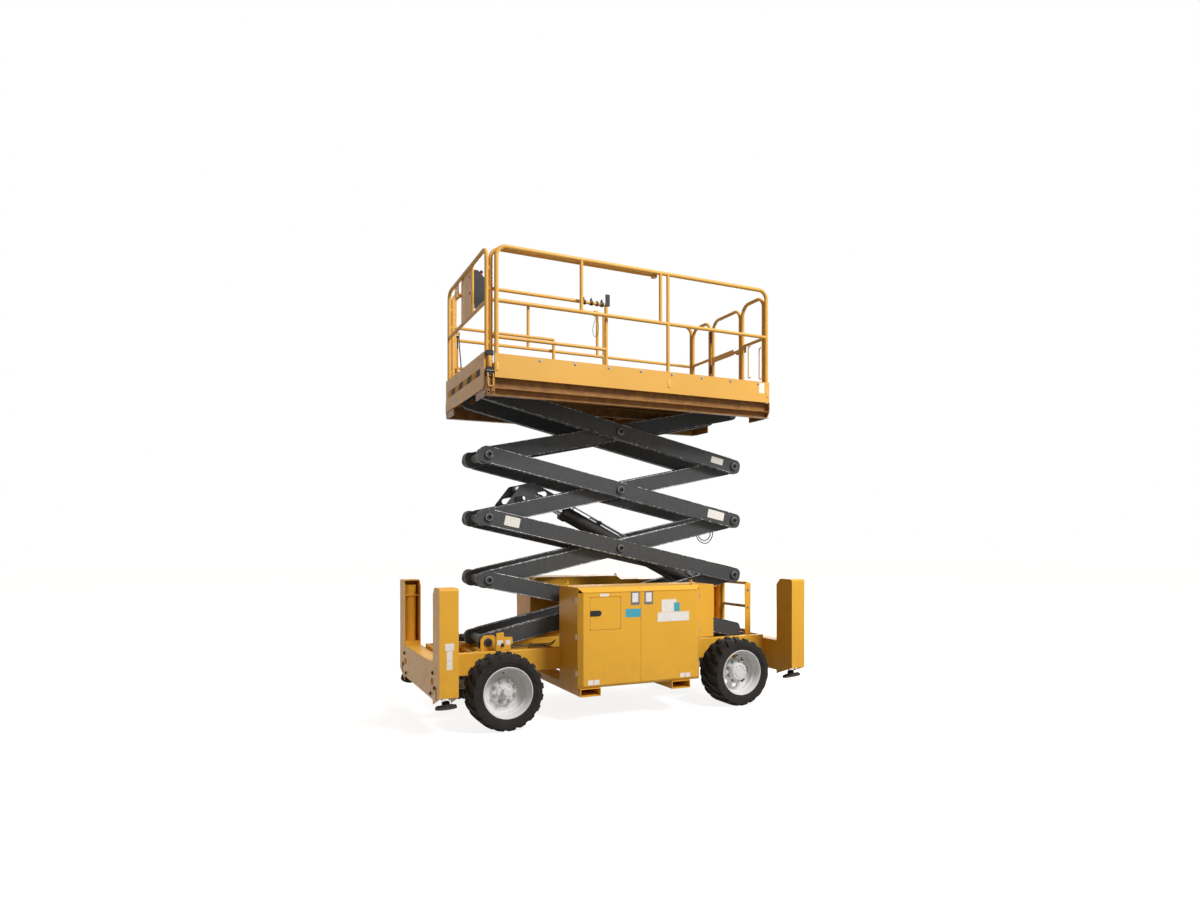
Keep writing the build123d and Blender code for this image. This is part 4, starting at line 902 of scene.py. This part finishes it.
# Of each end's wheels: spokes, their width as a share of the pitch, the hub's profile, and each cap
# screw's turn, reach and height
HUBS = {
    "front": (24, 1.02, (
        (31, -112), (72, -112), (72, -104), (68, -100), (50, -100), (48, -97), (34, -97), (33, -46),
        (28, -40), (0, -40), (0, -43), (31, -43), (31, -112)), [(45 + 90 * k, 59, -100) for k in range(4)]),
    "rear": (8, 0.56, (
        (31, -112), (90, -112), (88, -52), (84, -46), (80, -46), (78, -42), (58, -42), (56, -45), (52, -45),
        (50, -39), (0, -39), (0, -43), (31, -43), (31, -112)), [(60 + 36 * k, 68, -43) for k in range(10)]),
}


class LIFT_OT_wheels(bpy.types.Operator):
    """Spin the deep wheels and put on their hubs, nuts, screws and valves"""

    bl_idname = "lift.wheels"
    bl_label = "Wheels"

    def execute(self, context):
        for end, _ in ENDS:
            spokes, share, hub, screws = HUBS[end]
            for side_name, side in SIDES:
                wheel = f"{end}_{side_name}_wheel"
                low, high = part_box(f"{wheel}_rim")
                middle = (low + high) / 2
                radius, width = (high.z - low.z) / 2 / MM, (high.y - low.y) / MM
                out = side * Y
                face = Vector((middle.x, high.y if side > 0 else low.y, middle.z))
                # Heights are measured outwards from the wheel's outer edge, so they are negative inside it
                edge = ((radius - 8, 0), (radius - 3, 1), (radius, -2), (radius, -9), (radius - 12, -17),
                        (radius - 15, -26))
                far_edge = ((radius - 15, 26 - width), (radius - 12, 17 - width), (radius, 9 - width),
                            (radius, 2 - width), (radius - 3, 0 - width), (radius - 8, 0 - width))
                well = ((radius - 20, 24 - width), (radius - 24, 40 - width), (radius - 24, -214),
                        (radius - 34, -204), (radius - 34, -86), (radius - 24, -72), (radius - 24, -46),
                        (radius - 19, -36), (radius - 19, -22), (radius - 12, -10), (radius - 8, 0))
                ring = ((164, -140), (radius - 33, -134), (radius - 33, -152), (164, -150), (164, -140))
                shapes = [
                    round_at(face, out, profile, 72) for profile in (edge + far_edge + well, DISC, ring)]
                for k in range(spokes):
                    turn = 2 * math.pi * (k + 0.5) / spokes
                    half = math.pi / spokes * share
                    corners = ((SPOKE_FOOT, -half), (SPOKE_TIP, -half), (SPOKE_TIP, half), (SPOKE_FOOT, half))
                    outline = [(r * MM * math.cos(turn + aside), r * MM * math.sin(turn + aside))
                               for r, aside in corners]
                    shapes.append((prism, frame_at(face - out * SPOKE_BACK * MM, out), outline,
                                   SPOKE_THICK * MM))
                shapes.append(round_at(face, out, hub, 48))
                rim = made_of(f"{wheel}_spun_rim", wheel, "silver_wheel_paint", shapes)
                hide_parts(f"{wheel}_rim")

                def around(turn, reach, height):
                    """A place on the wheel and the way out of it, for a screw or a nut."""
                    a = math.radians(turn)
                    return face + (X * math.cos(a) + Z * math.sin(a)) * reach * MM + out * height * MM, out

                bolts(f"{wheel}_cap_screws", [around(*spot) for spot in screws], wheel, 10 * MM,
                      "silver_wheel_paint")
                bolts(f"{wheel}_nuts", [around(22.5 + 45 * k, 99, -110) for k in range(8)], wheel, 24 * MM,
                      "zinc")
                made_of(f"{wheel}_valve", wheel, "black_abs", [round_at(
                    around(80, 172, -60)[0], out, ((0, -14), (5, -14), (5, 24), (4, 30), (0, 30)), 10)])
        return {"FINISHED"}


class LIFT_OT_doors(bpy.types.Operator):
    """Put the hinges, latches and lifting eyes on the cabinets"""

    bl_idname = "lift.doors"
    bl_label = "Cabinet fittings"

    def execute(self, context):
        for side_name, side in SIDES:
            fixed = []
            for end, way in ENDS:
                body = f"{side_name}_{end}_door"
                pin, _ = hinge_place(f"{body}_hinge")
                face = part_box(body)[1 if way > 0 else 0].x - way * 16 * MM
                moving = []
                for z in (450, 780, 1110):
                    centre = Vector((pin.x, pin.y, z * MM))
                    moving.append(round_at(centre - Z * 12.5 * MM, Z, ((0, 0), (9, 0), (9, 25), (0, 25)), 16))
                    moving.append(plate_at(
                        Vector((face, pin.y + side * 9 * MM, z * MM)), way * X, 15, 25, 3, 2))
                    for step in (-25.5, 14.5):
                        fixed.append(round_at(
                            centre + Z * step * MM, Z, ((0, 0), (9, 0), (9, 11), (0, 11)), 16))
                    fixed.append(plate_at(
                        Vector((face, pin.y - side * 17 * MM, z * MM)), way * X, 26, 52, 3, 3))
                made_of(f"{body}_hinge_leaves", body, "zinc", moving)
            made_of(f"{side_name}_cabinet_hinge_leaves", "chassis", "zinc", fixed)
            eyes = []
            for x, y in ((600, 500), (-560, 830)):
                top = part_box("left_cabinet")[1].z / MM
                foot = [at(x, side * y, top - 6)]
                ring = [at(x, side * (y + 22 * c), top + 22 + 22 * s) for c, s in circle(-60, 241, 30)]
                eyes.append((tube, foot + ring + foot, 6 * MM, 10))
            made_of(f"{side_name}_lifting_eyes", "chassis", "powder_coated_steel", eyes)
        # Only the right-hand doors have latches of their own
        panel = -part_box("left_front_door")[1].y / MM
        for end, x in (("front", 72), ("rear", -38)):
            body = f"right_{end}_door"
            made_of(f"{body}_latch", body, "black_abs", [
                plate_at(at(x, panel, 780), -Y, 62, 96, 3, 10, bevel=1.5),
                plate_at(at(x, panel - 3, 788), -Y, 42, 58, 6, 8, bevel=3)])
        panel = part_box("control_flap")[1].y / MM
        latch = [(0.0, -25.0), (0.0, 25.0)] + [(-86 + 25 * c, 25 * s) for c, s in circle(90, 271, 20)]
        outline = [(-x * MM, y * MM) for x, y in latch]
        made_of("flap_latch", "control_flap", "black_abs", [
            (prism, frame_at(at(534, panel, 992), Y), outline, 5 * MM, 1.5 * MM),
            plate_at(at(470, panel + 5, 992), Y, 56, 26, 4, 10, bevel=2)])
        made_of("flap_hinge", "control_flap", "zinc", [round_at(
            at(234, 884, z), Z, ((0, 0), (5.6, 0), (5.6, 34), (0, 34)), 14) for z in (872, 972, 1072)])
        return {"FINISHED"}


class LIFT_OT_rail_fittings(bpy.types.Operator):
    """Fit the gate, the rails and the sliding deck: latch, springs, handles, sockets, rollers and sheet"""

    bl_idname = "lift.rail_fittings"
    bl_label = "Rail fittings"

    def execute(self, context):
        gate_x, gate_y = (v / MM for v in hinge_place("gate_hinge")[0].xy)
        springs, caps = [], []
        for z in (3420, 3960):
            for k in range(9):
                coil = [
                    at(gate_x + 15.5 * c, gate_y + 15.5 * s, z - 17 + 4 * k) for c, s in circle(0, 361, 30)]
                springs.append((tube, coil, 1.9 * MM, 8))
            caps.append(round_at(at(gate_x, gate_y, z - 20), Z,
                                 ((13.2, 0), (18, 0), (18, 3), (13.2, 3), (13.2, 0)), 20))
        made_of("gate_springs", "entry_gate", "black_machinery_enamel", springs + caps)
        made_of("gate_hinge_covers", "entry_gate", "black_abs", [
            round_at(at(gate_x, gate_y, z), Z,
                     ((13.2, 0), (20, 0), (22, 3), (22, 87), (20, 90), (13.2, 90), (13.2, 0)), 24)
            for z in (3590, 3988)])
        made_of("gate_bar", "entry_gate", "platform_powder_coat", [
            plate_at(at(gate_x + 18, -38, 3725), X, 62, 430, 5, 5, up=Y, bevel=1.5)])
        made_of("gate_latch", "entry_gate", "black_abs", [
            plate_at(at(-1554, 205, 3725), -X, 74, 46, 26, 8, bevel=4),
            plate_at(at(-1580, 226, 3725), -X, 34, 26, 16, 6, bevel=3)])
        made_of("gate_catch", "platform", "zinc", [
            plate_at(at(-1556, 322, 3725), -X, 58, 70, 6, 6, bevel=1)])
        handles = [pipe([at(x, y, z) for y, z in ((712, 3650), (672, 3650), (672, 3330), (712, 3330))], 6, 34)
                   for x in (-1353, -1490)]
        made_of("left_grab_handles", "platform", "platform_powder_coat", handles)
        # Sockets that the posts of the rails stand in
        for side_name, side in SIDES:
            sockets = [round_at(at(x, side * 730, 3136), Z,
                                ((20, 0), (27, 0), (27, 70), (25, 74), (20, 74), (20, 0)), 28)
                       for x in (1363, -364, -1535)]
            made_of(f"{side_name}_post_sockets", "platform", "platform_powder_coat", sockets)
            corner = [plate_at(at(1421, side * 700, 3290), side * Y, 66, 44, 34, 6, bevel=3),
                      plate_at(at(1421, side * 700, 3128), side * Y, 62, 74, 34, 6, bevel=3)]
            legs = ((722, 3108), (758, 3104), (758, 2996))
            eye = [at(1398, side * y, z) for y, z in legs] + [at(1448, side * y, z) for y, z in legs[::-1]]
            made_of(f"{side_name}_corner_eye", "extension", "platform_powder_coat",
                    [pipe(eye, 5.5, 20)])
            made_of(f"{side_name}_corner_rollers", "extension", "black_abs", corner)
            made_of(f"{side_name}_corner_sleeve", "extension", "platform_powder_coat", [round_at(
                at(1421, side * 714, 3168), Z, ((0, 0), (19, 0), (21, 4), (21, 92), (19, 98), (0, 98)), 24)])
            spots = [(at(x, side * 750, 3262), side * Y) for x in range(-1420, 1300, 340)]
            bolts(f"{side_name}_toe_board_bolts", spots, "platform", 17 * MM, "zinc")
        # Clamps and the stop plate at the rear end of the left sliding rail
        made_of("rail_clamps", "extension", "black_machinery_enamel", [
            round_at(at(x, 676, 3868), X, ((16, -wide), (23, -wide), (23, wide), (16, wide), (16, -wide)), 24)
            for x, wide in ((322, 15), (372, 9), (430, 12), (508, 17))] + [
            plate_at(at(x, 676, 3888), Z, 14, 22, 24, 4, bevel=3) for x in (322, 430, 508)])
        made_of("stop_plate", "extension", "black_abs", [
            plate_at(at(268, 690, 3908), Y, 44, 112, 8, 8, bevel=2)])
        # Tear-plate sheet of the sliding deck, inside its posts
        low, high = (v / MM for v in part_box("extension_deck"))
        deck_top, posts, edge = 3147, 1378, 50
        made_of("sliding_deck_sheet", "extension", "galvanised_deck", [
            plate_at(at((low.x + edge + posts) / 2, 0, deck_top - 0.5), Z, posts - low.x - edge,
                     high.y - low.y - 2 * edge, 2.5, 4, Y, 1)])
        made_of("cable_gland", "extension", "black_abs", [
            round_at(at(1410, -296, 3188), Z,
                     ((6.2, 0), (15, 0), (15, 10), (11, 13), (9, 30), (6.2, 34), (6.2, 0)), 20)])
        # Gas spring and hose guard beside the far end of the front rail
        made_of("front_gas_spring", "extension", "platform_powder_coat", [
            pipe([at(1402, -470, 3335), at(1402, -470, 3600)], 9, 1)])
        made_of("front_gas_spring_ends", "extension", "black_abs", [
            round_at(at(1402, -470, 3298), Z, ((0, 0), (13, 0), (13, 36), (10, 42), (0, 42)), 16),
            round_at(at(1402, -470, 3596), Z,
                     ((0, 0), (7, 0), (7, 110), (12, 112), (12, 136), (0, 136)), 16)])
        bolts("control_plate_bolts", [(at(1435, 110, z), X) for z in (3990, 4140)], "extension", 16 * MM,
              "zinc")
        return {"FINISHED"}


class LIFT_OT_controls(bpy.types.Operator):
    """Fit the platform's control box with its lever, switches and stop button"""

    bl_idname = "lift.controls"
    bl_label = "Platform controls"

    def execute(self, context):
        low, high = (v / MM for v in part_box("control_box"))
        middle = (low.y + high.y) / 2
        slope = Vector((-70, 0, 96)).normalized()
        across = Vector((96, 0, 70)).normalized()
        panel = at(low.x + 44, middle, high.z - 38)

        def on(x, y):
            """A place on the sloped panel: up the slope and to the left, in millimetres."""
            return panel + across * x * MM + Y * y * MM

        made_of("control_panel", "extension", "grey_label", [
            plate_at(panel, slope, 170, 96, 1.2, 6, across)], smooth=False)
        made_of("drive_lever", "extension", "black_abs", [round_at(on(8, -42), slope, (
            (0, 0), (27, 0), (25, 6), (19, 10), (21, 14), (15, 19), (16, 23), (10, 28), (9, 62), (15, 70),
            (16, 92), (11, 100), (0, 102)), 24, across)])
        made_of("stop_button", "extension", "red_abs", [round_at(on(4, 56), slope, (
            (0, 0), (13, 0), (13, 12), (20, 16), (20, 22), (15, 27), (0, 28)), 28, across)])
        made_of("stop_button_plate", "extension", "orange_label", [round_at(on(4, 56), slope, (
            (0, 0.9), (27, 0.9), (27, 2.4), (0, 2.4)), 28, across)])
        made_of("control_switches", "extension", "black_abs", [
            round_at(on(x, y), slope,
                     ((0, 0), (9, 0), (9, 5), (5, 7), (4, 22), (5.5, 26), (0, 28)), 14, across)
            for x, y in ((28, 10), (28, 34), (-18, 2), (-26, 26))])
        guard = [on(-46, -84), on(-46, -84) + slope * 44 * MM, on(-46, 84) + slope * 44 * MM, on(-46, 84)]
        made_of("lever_guard", "extension", "zinc", [(tube, eased(guard, 20 * MM), 5 * MM)])
        made_of("control_box_seam", "extension", "black_machinery_enamel", [
            plate_at(at(low.x, middle, low.z + 120), -X, 176, 200, 3, 10, bevel=1.5)])
        return {"FINISHED"}


class LIFT_OT_chassis(bpy.types.Operator):
    """Bolt up the chassis: outrigger beams, jacks, kingpins, wheel motors, ladder, pipes and brackets"""

    bl_idname = "lift.chassis"
    bl_label = "Chassis fittings"

    def execute(self, context):
        pad_tilt = math.radians(20)
        front_axle, rear_axle, axle_height = 1300, -1130, 336.5
        for end, way in ENDS:
            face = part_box(f"{end}_outrigger_housings")[1 if way > 0 else 0].x
            spots = [(Vector((face, side * y * MM, z * MM)), way * X) for _, side in SIDES
                     for y, z in ((705, 400), (640, 520), (560, 330))]
            bolts(f"{end}_beam_bolts", spots, "chassis", 24 * MM)
            bosses = [round_at(Vector((face, side * 600 * MM, 442 * MM)), way * X,
                               ((0, 0), (30, 0), (30, 8), (26, 11), (12, 11), (10, 7), (0, 7)), 28)
                      for _, side in SIDES]
            made_of(f"{end}_beam_bosses", "chassis", "powder_coated_steel", bosses)
            for side_name, side in SIDES:
                jack_x, jack_y = way * 1819, side * 765
                made_of(f"{end}_{side_name}_jack_gland", "chassis", "zinc", [
                    round_at(at(jack_x, jack_y, 431), -Z,
                             ((41, 0), (57, 0), (57, 12), (52, 17), (41, 17), (41, 0)), 36)])
                up = Vector((0, -side * math.sin(pad_tilt), math.cos(pad_tilt)))
                ball = at(jack_x, jack_y, 288)
                made_of(f"{end}_{side_name}_pad_ribs", f"{end}_{side_name}_pad", "pad_rubber", [
                    plate_at(ball - up * 36 * MM, up, 9, 150, 9, 3, Vector((c, s, 0)), 2)
                    for c, s in circle(0, 121, 60)])
        for side_name, side in SIDES:
            made_of(f"{side_name}_kingpin_cap", f"{side_name}_knuckle", "zinc", [
                round_at(at(front_axle, side * 560, 453), Z,
                         ((0, 0), (31, 0), (31, 5), (24, 9), (8, 9), (8, 14), (0, 14)), 24)])
            for name, body, x in (("motor_bolts", f"{side_name}_knuckle", front_axle),
                                  ("rear_motor_bolts", "chassis", rear_axle)):
                bolts(f"{side_name}_{name}", [
                    (at(x, side * 690, axle_height) + Vector((c, 0, s)) * 90 * MM, -side * Y)
                    for c, s in circle(0, 360, 45)], body, 14 * MM)
        made_of("ladder_treads", "chassis", "galvanised_deck", [
            plate_at(at(-1650, 0, z + 14), Z, 360, 44, 4, 4, X, 1) for z in (660, 930)])
        made_of("ladder_side_plates", "chassis", "powder_coated_steel", [
            plate_at(at(-1653, side * 245, 858), side * Y, 74, 664, 5, 18, bevel=1.5) for _, side in SIDES])
        bolts("ladder_plate_bolts", [
            (at(-1653, side * 250, z), side * Y) for _, side in SIDES for z in (920, 1110)],
            "chassis", 18 * MM, "zinc")
        made_of("steering_clevis_pins", "steering_rod", "zinc", [
            round_at(at(1440, side * 560, 412), Z, ((0, 0), (17, 0), (17, 6), (13, 10), (0, 10)), 6)
            for _, side in SIDES])
        # Steel brake and steering lines clipped along the left beam
        lines = [pipe([at(1180, 352 - 6 * k, 655 + 14 * k), at(700, 352 - 6 * k, 655 + 14 * k),
                       at(660, 352 - 6 * k, 700)], 5, 40) for k in range(2)]
        made_of("frame_pipes", "chassis", "black_machinery_enamel", lines)
        # Squared lugs over the base pins and the tall stepped bracket, outlined in X and Z
        lug = ((1238, 622), (1238, 748), (1258, 770), (1348, 770), (1382, 730), (1382, 622))
        step = ((1268, 596), (1264, 800), (1196, 806), (1190, 764), (1112, 758), (1104, 700), (1124, 692),
                (1128, 640), (1182, 640), (1184, 596))
        plates = [(prism, Matrix(((-1, 0, 0, 0), (0, 0, 1, y * MM), (0, 1, 0, 0), (0, 0, 0, 1))),
                   [(-x * MM, z * MM) for x, z in outline], thick * MM, 1.5 * MM)
                  for outline, y, thick in ((lug, 287, 12), (step, 403, 9))]
        made_of("front_brackets", "chassis", "powder_coated_steel", plates, smooth=False)
        made_of("base_pin_head", "chassis", "black_machinery_enamel", [
            round_at(at(1310, 299, 705), Y, ((0, 0), (27, 0), (27, 7), (23, 10), (0, 10)), 28)])
        made_of("bracket_sockets", "chassis", "black_abs", [
            plate_at(at(1206, 404, 690), Y, 26, 30, 16, 4, bevel=2),
            round_at(at(1206, 420, 690), Y, ((0, 0), (9, 0), (9, 10), (7, 12), (0, 12)), 16)])
        made_of("bracket_signs", "chassis", "white_label", [
            plate_at(at(x, 412, z), Y, width, 44, 0.6, 2)
            for x, z, width in ((1230, 712, 52), (1154, 712, 46))], smooth=False)
        return {"FINISHED"}


class LIFT_OT_machinery(bpy.types.Operator):
    """Add the caps, lines, fins and terminals of the machinery behind the doors"""

    bl_idname = "lift.machinery"
    bl_label = "Machinery in the cabinets"

    def execute(self, context):
        made_of("oil_filler_cap", "chassis", "black_abs", [round_at(
            at(-420, 600, 780), Z, ((0, 0), (38, 0), (38, 10), (44, 14), (44, 30), (38, 36), (0, 36)), 24)])
        made_of("pump_lines", "chassis", "hose_rubber", [
            pipe([at(-200, 560 + 40 * k, 770), at(-200, 560 + 40 * k, 850), at(150, 560 + 40 * k, 850),
                  at(150, 560 + 40 * k, 770)], 9, 60) for k in range(2)])
        fins = [plate_at(at(-430 + 60 * k, -610, 898), Z, 12, 300, 26, 3, Y, 3) for k in range(10)]
        made_of("engine_cooling_fins", "chassis", "zinc", fins, slot="black_paint")
        made_of("battery_terminals", "chassis", "red_abs", [
            round_at(at(x, -500, 760), Z, ((0, 0), (14, 0), (12, 18), (0, 18)), 14) for x in (350, 530)])
        return {"FINISHED"}


# Routes of the cords: the same points as the CAD tubes. The hoses' are (u, v) on the arm that carries them.
HOSES = (
    ("long_hose_line", "long_hose", 170, (
        (2385, -50), (2385, -92), (2400, -134), (2431, -168), (2478, -190), (2525, -184), (2563, -155),
        (2590, -118), (2598, -76), (2598, -40))),
    ("short_hose_line", "short_hose", 158, (
        (2415, -50), (2415, -88), (2428, -122), (2456, -148), (2492, -160), (2527, -152), (2555, -130),
        (2571, -98), (2576, -68), (2576, -40))))
CABLE = ((1410, -378, 3722), (1410, -378, 3632), (1404, -364, 3530), (1402, -336, 3430), (1406, -306, 3335),
         (1410, -296, 3250), (1410, -296, 3190))
LANYARD = ((-252, -664, 4199), (-252, -664, 4152), (-262, -664, 4104), (-266, -664, 4052), (-260, -664, 4000),
           (-240, -664, 3958), (-214, -664, 3958), (-194, -664, 4000), (-196, -664, 4052), (-210, -664, 4104),
           (-226, -664, 4152), (-226, -664, 4199))


def cord(name, node, body, points, diameter):
    """A cord as a smooth spline with the route's points, in place of its CAD tube."""
    data = bpy.data.curves.new(name, "CURVE")
    data.dimensions = "3D"
    data.bevel_depth = diameter / 2
    data.bevel_resolution = 4
    data.resolution_u = 10
    data.use_fill_caps = True
    spline = data.splines.new("NURBS")
    spline.points.add(len(points) - 1)
    for target, point in zip(spline.points, points):
        target.co = (*point, 1)
    spline.order_u = 3
    spline.use_endpoint_u = True
    made = linked(name, data)
    data.materials.append(finishes["hose_rubber"])
    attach(made, body)
    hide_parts(node)


class LIFT_OT_cords(bpy.types.Operator):
    """Hang the hoses of the scissor, the control cable and the lanyard"""

    bl_idname = "lift.cords"
    bl_label = "Hoses and cables"

    def execute(self, context):
        for (name, node, y, route), length in zip(HOSES, (0.400, 0.313)):
            places = [on_arm("inner", 2, u * MM, v * MM) for u, v in route]
            cord(name, node, "inner_arms_2", [Vector((x, y * MM, z)) for x, z in places], 10 * MM)
        cord("control_cable_line", "control_cable", "extension", [at(*p) for p in CABLE], 12 * MM)
        cord("right_lanyard_line", "right_lanyard", "extension", [at(*p) for p in LANYARD], 6 * MM)
        return {"FINISHED"}


class LIFT_PT_panel(bpy.types.Panel):
    """Lists the steps and the settings in the sidebar"""

    bl_label = "Scissor Lift"
    bl_space_type = "VIEW_3D"
    bl_region_type = "UI"
    bl_category = "Scissor Lift"

    def draw(self, context):
        for step in OPERATORS:
            self.layout.operator(step.bl_idname)
        for group in settings():
            box = self.layout.box()
            for name in group.__annotations__:
                box.prop(group, name)


OPERATORS = (LIFT_OT_stage, LIFT_OT_finishes, LIFT_OT_cords, LIFT_OT_tread, LIFT_OT_labels, LIFT_OT_pins,
             LIFT_OT_arm_edges, LIFT_OT_cylinder, LIFT_OT_wheels, LIFT_OT_doors, LIFT_OT_rail_fittings,
             LIFT_OT_controls, LIFT_OT_chassis, LIFT_OT_machinery)
CLASSES = (LiftColours, LiftSizes, *OPERATORS, LIFT_PT_panel)


def register():
    """Registers the classes and puts the settings on the scene."""
    for made in CLASSES:
        bpy.utils.register_class(made)
    bpy.types.Scene.lift_colours = PointerProperty(type=LiftColours)
    bpy.types.Scene.lift_sizes = PointerProperty(type=LiftSizes)


def unregister():
    """Takes the settings and the classes away again."""
    del bpy.types.Scene.lift_colours
    del bpy.types.Scene.lift_sizes
    for made in reversed(CLASSES):
        bpy.utils.unregister_class(made)


def main():
    """Runs every step in order."""
    register()
    for step in OPERATORS:
        family, action = step.bl_idname.split(".")
        getattr(getattr(bpy.ops, family), action)()


if __name__ == "__main__":
    main()
